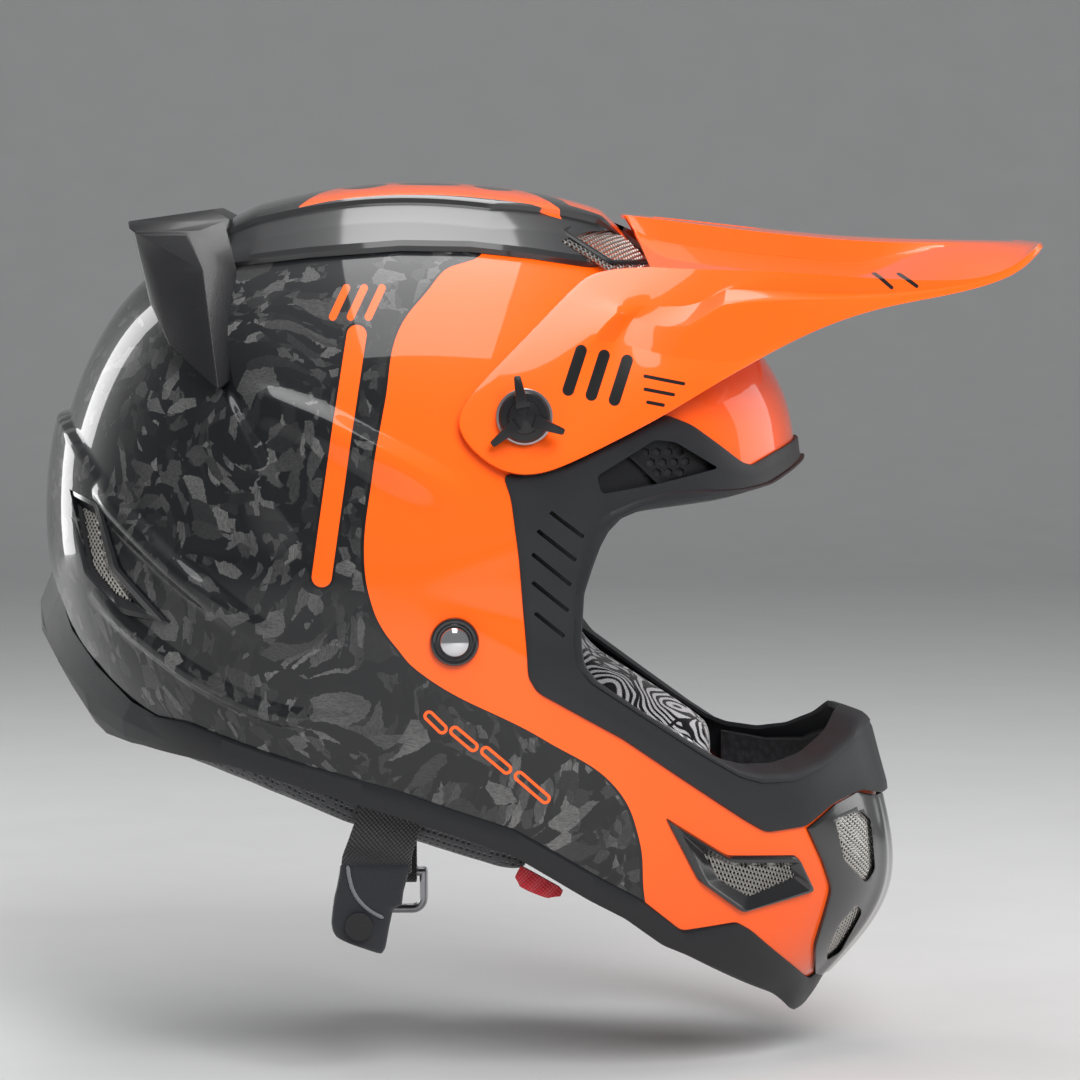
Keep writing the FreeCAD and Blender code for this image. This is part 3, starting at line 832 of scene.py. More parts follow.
def line_place(x, z, line):
    """Distance to a side-view line, signed (negative above it), and the share of the way along it."""
    line = dense(rounded(line, 12, closed=False), 2.0)
    walk = np.concatenate([[0], np.cumsum(np.linalg.norm(np.diff(line, axis=0), axis=1))])
    best, share = np.full(len(x), 1e9), np.zeros(len(x))
    for i, (a, b) in enumerate(zip(line[:-1], line[1:])):
        dx, dz = b - a
        t = np.clip(((x - a[0]) * dx + (z - a[1]) * dz) / (dx * dx + dz * dz), 0, 1)
        gap = np.hypot(x - a[0] - t * dx, z - a[1] - t * dz)
        side = np.sign((x - a[0]) * dz - (z - a[1]) * dx)
        share = np.where(gap < np.abs(best), (walk[i] + t * (walk[i + 1] - walk[i])) / walk[-1], share)
        best = np.where(gap < np.abs(best), np.where(side == 0, 1, side) * gap, best)
    return best, share


def eased(value):
    """0 to 1 with a soft start and end."""
    t = np.clip(value, 0, 1)
    return t * t * (3 - 2 * t)


def blade_height(p):
    """Raised, tapered blades on the shell's sides, and the rear panel they run into."""
    x, z = p[:, 0], p[:, 2]
    total = np.zeros(len(p))
    for line, height, flat, above, below in BLADES:
        gap, share = line_place(x, z, line)
        taper = eased(share / 0.2) * eased((1 - share) / 0.4)
        flank = np.where(gap < 0, above, below)
        steep = np.clip((np.abs(gap) - flat) / flank, 0, 1)
        fall = 1 - np.where(gap < 0, 0.25 * eased(steep) + 0.75 * steep, eased(steep))
        total = np.maximum(total, height * taper * fall)
    gap, share = line_place(x, z, REAR_PANEL_EDGE + [(-100, 28)])
    panel = eased((gap + 3.0) / 4.5) * (1 - eased(share / 0.95)) * REAR_PANEL_HEIGHT
    panel = panel * eased((-118 - x) / 30) * eased((z + 12) / 45)
    return np.maximum(total, panel)


def blade_nearness(p):
    """Distance to the nearest blade, for a finer mesh there."""
    near = np.full(len(p), 1e9)
    for line in [b[0] for b in BLADES] + [REAR_PANEL_EDGE]:
        gap, _ = line_place(p[:, 0], p[:, 2], line)
        near = np.minimum(near, np.abs(gap))
    return near


def make_shell():
    piece = cube_form("shell_painted", 84, blade_height, blade_nearness, 7.5)
    outer = [a for a, _ in TRIM_PAIRS]
    trim_cut = rounded(grown(outer + [(230, -69), (230, 76)], -1.2), 3)
    mouth_cut = grown(MOUTH_TOP[::-1] + [(230, -69)] + [(230, -141)] + MOUTH_SIDE[::-1][:-1], -1.0)
    below = [a for a, _ in RIM_PAIRS]
    rim_cut = [(-230, -24)] + grown(below, 0)[1:].tolist() + [(230, -141), (230, -300), (-230, -300)]
    tools = [through(trim_cut), through(mouth_cut), through(np.array(rim_cut) - np.array([0, 1.5]))]
    tools += [through(grown(SIDE_VENT, -1.0)), through(grown(REAR_VENT, -1.0))]
    cut(piece, tools)
    centres = face_centres(piece)
    spread = project(centres)
    radius = np.linalg.norm(spread - MIDDLE, axis=1)
    depth = radius - np.linalg.norm(centres - MIDDLE, axis=1)
    normals = np.empty(len(centres) * 3)
    piece.data.polygons.foreach_get("normal", normals)
    out = (spread - MIDDLE) / radius[:, None]
    facing = (normals.reshape(-1, 3) * out).sum(1)
    edit_faces(piece, (depth > 1.2) | (facing < 0.3))
    bpy.ops.mesh.delete(type="FACE")
    done()
    piece.data.materials.clear()
    piece.data.materials.append(MATERIALS["shell"])
    piece.data.materials.append(MATERIALS["foam"])
    add_modifier(piece, "SOLIDIFY", thickness=SHELL_WALL * MM, offset=-1, material_offset=1)
    smooth(piece, 40)
    return finish_piece(piece, None, "helmet", ["outer_shell"])


# ---------------------------------------------------------------- trims
def loop_edges(pairs, step=3.0, radius=3.0):
    """The two edges of a strip that runs round both sides, as matched loops of points."""
    both = np.array([np.concatenate([a, b]) for a, b in pairs], float)
    both = dense(rounded(both, radius, closed=False, steps=3), step)
    outer = on_side(both[:, :2])
    inner = on_side(both[:, 2:])
    outer[[0, -1], 1] = 0
    inner[[0, -1], 1] = 0
    return mirrored_loop(outer), mirrored_loop(inner)


NOSE_PUSH = 4.0
SPIKE_DROP = 5.0


def make_eye_port_trim():
    outer, inner = loop_edges(TRIM_PAIRS)
    section = [
        (0.0, -0.6), (-0.01, 0.6), (0.02, 1.4), (0.12, 1.9), (0.5, 1.7), (0.80, 1.7), (0.86, 1.9),
        (0.90, 3.1), (0.96, 3.5), (1.0, 2.8), (1.01, 0.5), (1.01, -4.0), (0.99, -7.0), (0.9, -7.6),
        (0.8, -5.0), (0.5, -3.2), (0.2, -3.2),
    ]
    piece = band("eye_port_trim_moulding", outer, inner, section)
    tools = [through(rounded(BROW_VENT, 2.0))]
    for side, _ in SIDES:
        for start, end in GROOVES:
            start, end = np.array(start, float), np.array(end, float)
            across = np.array([-(end - start)[1], (end - start)[0]]) / np.linalg.norm(end - start) * 0.8
            outline = np.array([start - across, end - across, end + across, start + across])
            floor = min(half_width(*start), half_width(*end)) + 0.4
            low, high = sorted((side * floor, side * (floor + 12)))
            tools.append(prism("tool", rounded(outline, 0.7), low, high))
    cut(piece, tools)
    p = points_of(piece)
    nose = eased((p[:, 0] - 150) / 22) * eased((-36 - p[:, 2]) / 8) * eased(1.2 - np.abs(p[:, 1]) / 60)
    p[:, 0] += NOSE_PUSH * nose
    move_points(piece, p)
    smooth(piece, 38)
    return finish_piece(piece, MATERIALS["trim"], "helmet", ["eye_port_trim"])


def make_rim_trim():
    outer, inner = loop_edges(RIM_PAIRS)
    section = [
        (0.0, -0.5), (0.0, 0.9), (0.05, 1.4), (0.45, 2.0), (0.75, 2.3), (0.92, 1.9), (1.0, 0.8),
        (1.03, -1.2), (1.0, -4.5), (0.9, -5.6), (0.6, -5.6), (0.3, -3.4),
    ]
    piece = band("rim_trim_moulding", outer, inner, section)
    p = points_of(piece)
    p[:, 2] -= SPIKE_DROP * eased((p[:, 0] - 132) / 14) * eased((-143 - p[:, 2]) / 10)
    move_points(piece, p)
    smooth(piece, 30)
    return finish_piece(piece, MATERIALS["rim"], "helmet", ["rim_trim"])


def coons(top, bottom, right, left):
    """A grid of points inside four boundary curves that share their corners."""
    u = np.linspace(0, 1, len(top))[None, :, None]
    v = np.linspace(0, 1, len(left))[:, None, None]
    sides = left[:, None] * (1 - u) + right[:, None] * u
    ends = top[None] * (1 - v) + bottom[None] * v
    corners = ((1 - u) * (1 - v) * top[0] + u * (1 - v) * top[-1]
               + (1 - u) * v * bottom[0] + u * v * bottom[-1])
    return sides + ends - corners


GUARD_COLUMNS = 81


def make_mouth_guard():
    flip = np.array([1, -1, 1])
    top = on_side(dense(MOUTH_TOP[::-1], 2.0))
    top[-1, 1] = 0
    top = resample(np.vstack([top, (top[:-1] * flip)[::-1]]), GUARD_COLUMNS)
    side = resample(on_side(dense(rounded(MOUTH_SIDE, 3, closed=False), 2.0)), 41)
    corner = side[-1]
    base = np.stack([np.full(GUARD_COLUMNS, corner[0]), np.linspace(corner[1], -corner[1], GUARD_COLUMNS),
                     np.full(GUARD_COLUMNS, corner[2])], -1)
    bottom = project(base)
    bottom[:, 2] = corner[2]
    rows = coons(top, bottom, side * flip, side)
    y = np.abs(rows[..., 1])
    ridge = 1.6 * np.exp(-((y - 20) / 5) ** 2) + 2.2 * np.exp(-(y / 9) ** 2)
    rows = project(rows, 1.6 + ridge * 0.8)
    piece = lattice("mouth_guard_shell", rows)
    face_outwards(piece)
    add_modifier(piece, "SOLIDIFY", thickness=4.5 * MM, offset=-1)
    tools = [through(rounded(w, 2)) for w in (MOUTH_WINDOW_UPPER, MOUTH_WINDOW_LOWER)]
    cut(piece, tools)
    add_modifier(piece, "BEVEL", width=0.7 * MM, segments=2, limit_method="ANGLE",
                 angle_limit=math.radians(50))
    smooth(piece, 40)
    return finish_piece(piece, MATERIALS["gloss"], "helmet", ["mouth_guard"])


def ring_frame(name, outer, inner, section, side, radius=2.0, step=2.0):
    """A raised frame round a window on one side, from matched outer and inner corners."""
    both = np.hstack([np.asarray(outer, float), np.asarray(inner, float)])
    both = dense(rounded(both, radius, steps=3), step, closed=True)
    return band(name, on_side(both[:, :2], side), on_side(both[:, 2:], side), section)


def inside(points, polygon):
    """Which flat points lie inside a polygon."""
    result = np.zeros(len(points), bool)
    for i in range(len(polygon)):
        a, b = polygon[i - 1], polygon[i]
        crosses = (a[1] > points[:, 1]) != (b[1] > points[:, 1])
        slope = (b[0] - a[0]) / (b[1] - a[1] if b[1] != a[1] else 1e-9)
        result ^= crosses & (points[:, 0] < a[0] + (points[:, 1] - a[1]) * slope)
    return result


def woven_sheet(reach, pitch, radius):
    """Flat square cloth of round wires that pass over and under each other, in its own plane."""
    steps = int(reach / pitch) * 2
    along = (np.arange(steps + 1) - steps / 2) * pitch
    height = radius * 0.9 * np.where(np.arange(steps + 1) % 2 == 0, 1, -1)
    rows = [np.stack([np.full(4, t), radius * np.array([1, 0, -1, 0]),
                      h + radius * np.array([0, 1, 0, -1])], -1) for t, h in zip(along, height)]
    wire = lattice("wire", rows, close_columns=True)
    other = wire.copy()
    other.data = wire.data.copy()
    bpy.context.scene.collection.objects.link(other)
    move_points(other, points_of(wire) + np.array([pitch, pitch, 0]))
    pair = join("warp", [wire, other])
    add_modifier(pair, "ARRAY", count=steps // 2, use_relative_offset=False, use_constant_offset=True,
                 constant_offset_displace=(0, 2 * pitch * MM, 0))
    p = points_of(pair)
    p[:, 1] -= p[:, 1].mean()
    move_points(pair, p)
    weft = pair.copy()
    weft.data = pair.data.copy()
    bpy.context.scene.collection.objects.link(weft)
    move_points(weft, np.stack([p[:, 1], -p[:, 0], -p[:, 2]], -1))
    return join("cloth", [pair, weft])


def woven_wires(name, outline, side, offset, pitch=1.3, turn=40, radius=0.3):
    """Woven wire cut to a window and laid on the form."""
    corners = on_side(outline, side, offset)
    centre = corners.mean(0)
    _, _, axes = np.linalg.svd(corners - centre)
    c, s = math.cos(math.radians(turn)), math.sin(math.radians(turn))
    across, up = c * axes[0] + s * axes[1], c * axes[1] - s * axes[0]
    flat = (corners - centre) @ np.stack([across, up]).T
    piece = woven_sheet(2 * np.abs(flat).max() + 4, pitch, radius)
    edit_faces(piece, ~inside(face_centres(piece)[:, :2], flat))
    bpy.ops.mesh.delete(type="FACE")
    bpy.ops.mesh.select_all(action="SELECT")
    bpy.ops.mesh.fill_holes(sides=4)
    done()
    p = points_of(piece)
    move_points(piece, project(centre + p[:, :1] * across + p[:, 1:2] * up, offset + p[:, 2]))
    piece.name = piece.data.name = name
    face_outwards(piece, 0.0000001)
    return smooth(piece, 80)


def make_vents():
    side_section = [
        (0.0, -0.8), (0.0, 1.0), (0.08, 1.9), (0.3, 2.2), (0.42, 1.4), (0.9, -0.6), (1.0, -1.2),
        (1.02, -2.8), (0.8, -2.9), (0.4, -2.9),
    ]
    rear_section = [
        (0.0, -0.8), (0.0, 0.9), (0.12, 1.8), (0.45, 1.6), (0.6, 0.8), (1.0, -0.8), (1.0, -2.8),
        (0.5, -2.9),
    ]
    for side, word in SIDES:
        piece = ring_frame("side_vent_bezel_" + word, SIDE_VENT, SIDE_VENT_WINDOW, side_section, side)
        smooth(piece, 28)
        finish_piece(piece, MATERIALS["gloss"], "helmet", ["side_vent_frame_" + word])
        piece = ring_frame("rear_vent_bezel_" + word, REAR_VENT, REAR_VENT_WINDOW, rear_section, side)
        smooth(piece, 28)
        finish_piece(piece, MATERIALS["gloss"], "helmet", ["rear_vent_frame_" + word])
        windows = [
            ("side_vent_wires_", SIDE_VENT_WINDOW, -1.6, "side_vent_mesh_"),
            ("rear_vent_wires_", REAR_VENT_WINDOW, -1.6, "rear_vent_mesh_"),
            ("mouth_wires_upper_", MOUTH_WINDOW_UPPER, -0.4, "mouth_mesh_upper_"),
            ("mouth_wires_lower_", MOUTH_WINDOW_LOWER, -0.4, "mouth_mesh_lower_"),
        ]
        for name, outline, offset, node in windows:
            wires = woven_wires(name + word, grown(outline, 1.0), side, offset)
            finish_piece(wires, MATERIALS["wire"], "helmet", [node + word])


# ---------------------------------------------------------------- crown, spoiler and diffuser
FAIRING_LOW = [
    (-86, 145), (-50, 149.3), (-14, 152), (13, 151.6), (37, 149), (60, 145.5), (68, 146), (76, 150),
]
CROWN_WINDOW = [(49, 156), (60, 159.6), (70, 160), (85, 146.5), (81, 144.5), (67, 144.5), (60, 149)]


def height_at(x, y):
    """Height of the form's top at a plan-view point."""
    z = np.linspace(60, 185, 251)
    widths = half_width(np.full(len(z), float(x)), z)
    order = np.argsort(widths)
    return np.interp(abs(y), widths[order], z[order]) if y else z[np.argmax(widths <= 0)]


def make_fairing():
    low = resample(FAIRING_LOW, 90)
    rows = []
    for x, z in low:
        wide = float(half_width(x, z))
        plateau = np.interp(x, [-77, 20, 60, 76], [40, 46, 36, 28])
        strip = min(plateau + 15, wide - 3)
        close = np.interp(x, [-86, -70, 62, 76], [0.6, 1, 1, 0.2])
        half = [(wide, 0.3), (wide - 0.3, 2.4), (wide - 2.0, 3.6), (strip + 1.5, 4.4), (strip, 4.7),
                (plateau + 2.2, 5.6), (plateau + 1.0, 6.2), (plateau + 0.6, 8.0), (plateau - 0.6, 8.5),
                (plateau * 0.75, 8.3), (plateau * 0.5, 8.1), (plateau * 0.25, 8.0), (0.0, 8.0)]
        line = [(y, 0.3 + (h - 0.3) * close) for y, h in half]
        line = [(-y, h) for y, h in line] + [(y, h) for y, h in line[-2::-1]]
        rows.append([project((x, y, height_at(x, y)), h) for y, h in line])
    rows = np.array(rows)
    under = project(rows, 0.3)
    piece = lattice("crown_fairing_moulding", rows)
    floor = lattice("floor", under[:, ::-1])
    piece = join("crown_fairing_moulding", [piece, floor])
    edit(piece)
    bpy.ops.mesh.remove_doubles(threshold=0.00002)
    bpy.ops.mesh.fill_holes(sides=0)
    bpy.ops.mesh.select_all(action="SELECT")
    bpy.ops.mesh.normals_make_consistent(inside=False)
    done()
    cut(piece, [through(rounded(CROWN_WINDOW, 1.5))], solver="EXACT")
    smooth(piece, 26)
    finish_piece(piece, MATERIALS["fairing"], "helmet", ["crown_fairing"])
    rim_section = [(0.0, 2.4), (0.0, 4.4), (0.25, 5.0), (0.75, 4.8), (1.0, 4.0), (1.0, 1.6)]
    for side, word in SIDES:
        ring = ring_frame("crown_intake_rim_" + word, grown(CROWN_WINDOW, 1.0),
                          grown(CROWN_WINDOW, -0.6), rim_section, side)
        smooth(ring, 30)
        finish_piece(ring, MATERIALS["black"], "helmet")
        wires = woven_wires("crown_intake_wires_" + word, CROWN_WINDOW, side, 3.6, 1.5, 38, 0.32)
        finish_piece(wires, MATERIALS["wire"], "helmet", ["crown_mesh_" + word])


def make_spoiler():
    """A thin blade over the back of the crown, carried by a faceted fin on each side."""
    fins = []
    for side, _ in SIDES:
        top = [(-121.5, 159.5, 46), (-100, 160, 50), (-84, 160.5, 46), (-119, 156, 50), (-98, 155, 55),
               (-92, 146, 62), (-111, 143.5, 66)]
        outer = on_side([(-119, 147), (-113, 131), (-104, 115), (-84, 99)], RIGHT, 8.0)
        front = on_side([(-80, 102), (-79, 145), (-82, 152)], RIGHT, 2.0)
        crest = on_side([(-111, 142), (-92, 145)], RIGHT, 8.5)
        foot = [(-112, 142), (-106, 130), (-98, 114), (-83, 99), (-80, 102), (-80, 145)]
        base = on_side(foot, RIGHT, 0.4)
        points = np.vstack([[(x, -y, z) for x, z, y in top], outer, front, crest, base])
        points[:, 1] *= -side
        fins.append(bevelled(hull("fin", points), 0.6))
    blade = [(-125, 163.5, 30), (-123.5, 160.8, 44), (-119, 157.5, 49), (-100, 158, 53),
             (-84, 158.5, 49), (-83, 164.5, 40), (-90, 168.5, 30), (-118, 158, 30), (-84, 160, 20)]
    points = np.array([(x, s * y, z) for x, z, y in blade for s in (-1, 1)])
    plate = bevelled(hull("plate", points), 0.8)
    piece = fins[0]
    cut(piece, [fins[1], plate], operation="UNION", solver="EXACT")
    piece.name = piece.data.name = "rear_spoiler_moulding"
    smooth(piece, 25)
    return finish_piece(piece, MATERIALS["black"], "helmet", ["rear_spoiler"])


DIFFUSER_ROWS = [
    # upper edge, crest, under the crest, lower edge, inner edge: (x, z, height) from the middle round
    [(-156, 24, 0.2), (-153, 14, 0.4), (-147, 0, 0.6), (-136, -13, 0.8), (-121, -26, 0.9),
     (-102, -35, 1.0)],
    [(-164, 8, 8.5), (-162, -3, 8.0), (-154, -14, 7.0), (-142, -25, 5.5), (-125, -34, 4.0),
     (-106, -41, 2.2)],
    [(-161, 0, 8.5), (-155, -12, 7.5), (-149, -23, 6.5), (-140, -33, 5.0), (-125, -41, 3.6),
     (-106, -44, 2.0)],
    [(-143, -34, 1.0), (-142, -36, 1.0), (-139, -39, 1.0), (-133, -42, 0.8), (-122, -44, 0.6),
     (-104, -45.5, 0.5)],
    [(-142, -28, -2.0), (-141, -31, -2.0), (-138, -34, -2.0), (-132, -37, -2.0), (-121, -39, -2.0),
     (-104, -41, -2.0)],
]
DIFFUSER_SPREAD = 16.0


def mirrored_row(line):
    """A row of points from the right side over the middle to the left side."""
    return np.vstack([line[::-1], line[1:] * np.array([1, -1, 1])])


def make_diffuser():
    """Faceted tail under the shell's back."""
    rows = []
    for row in DIFFUSER_ROWS:
        row = np.array(row, float)
        line = on_side(row[:, :2], RIGHT, row[:, 2])
        line[:, 1] = np.minimum(line[:, 1], -DIFFUSER_SPREAD * np.arange(len(line)))
        rows.append(mirrored_row(line))
    piece = lattice("rear_diffuser_moulding", rows, close_rows=True)
    close_ends(piece)
    bevelled(piece, 0.8, 2, 8)
    smooth(piece, 12)
    return finish_piece(piece, MATERIALS["trim"], "helmet", ["rear_diffuser"])


# ---------------------------------------------------------------- peak
PEAK_TOP = [
    # right to middle: each row runs from the rear edge forwards as (x, y, z), y away from the middle
    [(73, 0, 166.5), (86, 0, 165.6), (98, 0, 164.6), (112, 0, 163.2), (126, 0, 161.6),
     (142, 0, 160), (156, 0, 158.6), (172, 0, 157.6), (190, 0, 156.8), (214, 0, 156),
     (232, 0, 155.6), (245, 0, 155)],
    [(75, 27, 166), (86, 29.5, 164.8), (98, 30, 163.2), (112, 30, 161.4), (126, 29.5, 159.6),
     (142, 28.5, 158), (156, 27, 156.6), (172, 24.5, 155.4), (190, 20, 154.7),
     (214, 20, 154.8), (232, 20, 155), (244.5, 20, 154.9)],
    [(79, 31, 160), (87, 32.5, 156), (98, 33, 154.2), (112, 33, 152.4), (126, 32.3, 150.8),
     (142, 31, 149.2), (156, 29.5, 147.8), (172, 27.5, 147), (190, 23, 152.2),
     (214, 22, 154.2), (232, 22, 154.8), (244, 22, 154.8)],
    [(82.5, 53, 151.5), (89, 54, 150.9), (98, 55, 150), (112, 56, 148.9), (126, 56, 147.9),
     (142, 55.5, 146.7), (156, 55, 145.6), (172, 52, 145), (190, 48, 147),
     (213, 44, 150), (231, 41, 153), (243, 38, 155)],
    [(84.5, 76, 146), (93, 78.3, 145.6), (102, 80, 145.3), (114, 81.3, 145),
     (128, 82, 144.7), (142, 82.2, 143.9), (157, 81.6, 142.8), (172, 80, 141.8),
     (189, 77.3, 140.8), (213, 71.5, 140.4), (230, 65.6, 146), (239.5, 57.5, 154.8)],
]
PEAK_SIDE = [
    # side crease, ledge, under the ledge, lower crease, arm, lower edge
    [(62, 72, 145), (84.5, 76, 146), (93, 78.3, 145.6), (102, 80, 145.3), (114, 81.3, 145),
     (128, 82, 144.7), (142, 82.2, 143.9), (157, 81.6, 142.8), (172, 80, 141.8), (189, 77.3, 140.8),
     (213, 71.5, 140.4), (230, 65.6, 146), (239.5, 57.5, 154.8)],
    [(54, 81, 137.5), (71, 88, 132), (82, 86.5, 131), (93, 86, 130.6), (102, 85.5, 131),
     (114, 84.5, 137.4), (128, 84, 137.2), (148, 82.8, 136), (167, 80.8, 135.5), (187, 77.8, 136.6),
     (210, 72.6, 138.3), (230, 66.2, 144.6), (239.8, 58.2, 154.3)],
    [(51, 84.5, 135), (71.5, 93.5, 128.5), (78, 87.5, 126.5), (87, 91.5, 122.5), (99, 95.5, 123.5),
     (113, 92.5, 132), (128, 90, 133.6), (148, 87, 133.9), (167, 83.4, 134), (187, 79.2, 135.7),
     (209, 73.3, 137.8), (230, 66.4, 144), (240, 58.5, 154)],
    [(36, 101.5, 119.5), (60.5, 103.5, 119), (70, 95, 117), (80, 95, 115), (91, 98.5, 111.5),
     (105, 96.8, 109.8), (121, 94, 107.5), (146, 89.5, 124), (166, 84.5, 130), (186, 79.8, 133.6),
     (208, 73.8, 136.6), (230.5, 66.8, 143.3), (240.2, 58.8, 153.8)],
    [(17, 116.8, 101), (45, 114.5, 97), (62, 110.8, 98), (76, 107.2, 99.5), (90, 103, 101.5),
     (104, 98.8, 104), (118, 95, 105.5), (145, 89.9, 121.5), (166, 84.8, 128.8), (186, 80.2, 132.9),
     (208, 74, 136.2), (230.5, 67, 143), (240.3, 59, 153.6)],
    [(5, 122.5, 85.5), (23, 125, 68.5), (37, 124.2, 66), (50, 121.4, 69.5), (72, 112.2, 80),
     (92, 103.5, 90), (113, 96.6, 103), (143, 90.2, 119.3), (166, 85.2, 128), (186, 80.5, 132.4),
     (208, 74.2, 135.9), (231, 67.2, 142.6), (240.5, 59.3, 153.3)],
]
PIVOT = (35.0, 89.0)
PEAK_FOLDS = [
    # rows whose line is a fold, the first and last point of the fold, how sharp
    (PEAK_TOP[1], 0, 9, 1.0), (PEAK_TOP[2], 0, 9, 1.0), (PEAK_SIDE[0], 0, 12, 1.0),
    (PEAK_SIDE[1], 1, 10, 1.0), (PEAK_SIDE[2], 1, 8, 0.95), (PEAK_SIDE[3], 1, 7, 0.95),
]
PEAK_CROSS_FOLDS = [
    # short folds that run down the side, from one row to the next
    (1, 1), (1, 2), (2, 1), (2, 2), (2, 4), (2, 5), (1, 5),
]


def edge_key(a, b):
    return tuple(sorted((tuple(np.round(a, 2)), tuple(np.round(b, 2)))))


def fold_edges(piece, folds):
    """Marks the edges between listed pairs of points to stay sharp when the piece is smoothed."""
    p = points_of(piece)
    where = {edge_key(p[e.vertices[0]], p[e.vertices[1]]): e.index for e in piece.data.edges}
    crease = piece.data.attributes.new("crease_edge", "FLOAT", "EDGE")
    for a, b, weight in folds:
        at = where.get(edge_key(np.asarray(a, float), np.asarray(b, float)))
        if at is not None:
            crease.data[at].value = weight
            piece.data.edges[at].use_edge_sharp = True


def make_peak():
    piece = join("peak_moulding", [lattice("top", PEAK_TOP), lattice("side", PEAK_SIDE)])
    edit(piece)
    bpy.ops.mesh.remove_doubles(threshold=0.0001)
    done()
    folds = []
    for row, first, last, weight in PEAK_FOLDS:
        folds += [(row[i], row[i + 1], weight) for i in range(first, min(last, len(row) - 1))]
    folds += [(PEAK_SIDE[r][c], PEAK_SIDE[r + 1][c], 0.9) for r, c in PEAK_CROSS_FOLDS]
    fold_edges(piece, folds)
    add_modifier(piece, "MIRROR", use_axis=(False, True, False), merge_threshold=0.0001)
    edit(piece)
    bpy.ops.mesh.normals_make_consistent(inside=False)
    done()
    add_modifier(piece, "SUBSURF", levels=3, render_levels=3)
    crown = max(piece.data.polygons, key=lambda f: f.center.z)
    if crown.normal.z < 0:
        edit(piece)
        bpy.ops.mesh.flip_normals()
        done()
    add_modifier(piece, "SOLIDIFY", thickness=2.5 * MM, offset=-1, use_even_offset=True,
                 thickness_clamp=1.0)
    tools = []
    for side, _ in SIDES:
        tools.append(lathe("tool", [(0, 90), (3.4, 90), (3.4, 150), (0, 150)], side, PIVOT, 32))
        slot = [(x, side * y) for x, y in ((87, 7), (126, 5), (132, 9), (126, 12.5), (87, 18))]
        tools.append(prism("tool", rounded(slot, 1.0), 159.5, 175, upright=True))
    cut(piece, tools, solver="EXACT")
    bevelled(piece, 0.45, 2, 40)
    smooth(piece, 30)
    return finish_piece(piece, MATERIALS["peak"], "peak", ["peak"])


SCREW_SEAT = 121.3
HUB_PROFILE = [
    # radius, height over the seat
    (0, 0), (9.4, 0), (10, 0.8), (10, 3.6), (9.2, 4.6), (6.6, 5.2), (6.2, 7.0), (4.6, 8.0), (0, 8.2),
]
WING_ROWS = [
    # distance from the axis, half thickness, low and high over the seat
    (4.0, 2.6, 4.9, 9.3), (10.5, 1.6, 4.9, 9.0), (15.8, 1.3, 5.2, 7.4), (16.4, 0.8, 5.4, 7.0),
]


def make_screws():
    """Three-winged thumb screws that hold the peak, over a steel washer."""
    for side, word in SIDES:
        hub = lathe("hub", [(r, SCREW_SEAT + h) for r, h in HUB_PROFILE], side, PIVOT)
        wings = []
        for turn in range(3):
            angle = math.radians(120 * turn - 20)
            out = np.array([math.cos(angle), math.sin(angle)])
            across = np.array([-out[1], out[0]])
            points = []
            for reach, half, low, high in WING_ROWS:
                for sign in (-1, 1):
                    at = np.array(PIVOT) + out * reach + across * half * sign
                    points += [(at[0], side * (SCREW_SEAT + h), at[1]) for h in (low, high)]
            wings.append(bevelled(hull("wing", points), 0.5, 2, 30))
        cut(hub, wings, operation="UNION", solver="EXACT")
        hub.name = hub.data.name = "peak_thumb_screw_" + word
        shank = lathe("shank", [(0, 104), (2.9, 104), (2.9, SCREW_SEAT + 0.2), (0, SCREW_SEAT + 0.2)],
                      side, PIVOT, 24)
        screw = join("peak_thumb_screw_" + word, [hub, shank])
        smooth(screw, 30)
        body = "peak_screw_" + word
        finish_piece(screw, MATERIALS["black"], body, [body])
        washer = lathe("peak_washer_" + word, [(4, 121.05), (10.7, 121.05), (11, 121.2), (10.7, 121.5),
                                               (9.8, 121.6), (4, 121.6), (4, 121.05)], side, PIVOT)
        smooth(washer, 30)
        finish_piece(washer, MATERIALS["ring"], "peak")


RIVET = (8.0, 2.0)
RIVET_SEAT = [
    # radius, height over the shell
    (3.2, -0.6), (9.5, -0.6), (9.5, 1.6), (9.1, 2.3), (8.4, 2.5), (7.4, 2.2), (6.8, 1.6), (3.2, 1.4),
    (3.2, -0.6),
]


def make_rivets():
    quarter = np.linspace(0, math.pi / 2, 9)
    head_profile = [(0, -8), (3, -8), (3, 1.3), (6.2, 1.3)]
    head_profile += [(6.2 * math.cos(a), 1.5 + 4.2 * math.sin(a)) for a in quarter]
    for side, word in SIDES:
        ring = lathe("rivet_seat_" + word, [(r, HALF_WIDTH + h) for r, h in RIVET_SEAT], side, RIVET)
        smooth(ring, 30)
        finish_piece(ring, MATERIALS["gloss"], "helmet", ["rivet_washer_" + word])
        head = lathe("rivet_head_" + word, [(r, HALF_WIDTH + h) for r, h in head_profile], side, RIVET)
        smooth(head, 30)
        finish_piece(head, MATERIALS["chrome"], "helmet", ["strap_rivet_" + word])


# ---------------------------------------------------------------- padding
CLOTH_FRAMES = 14


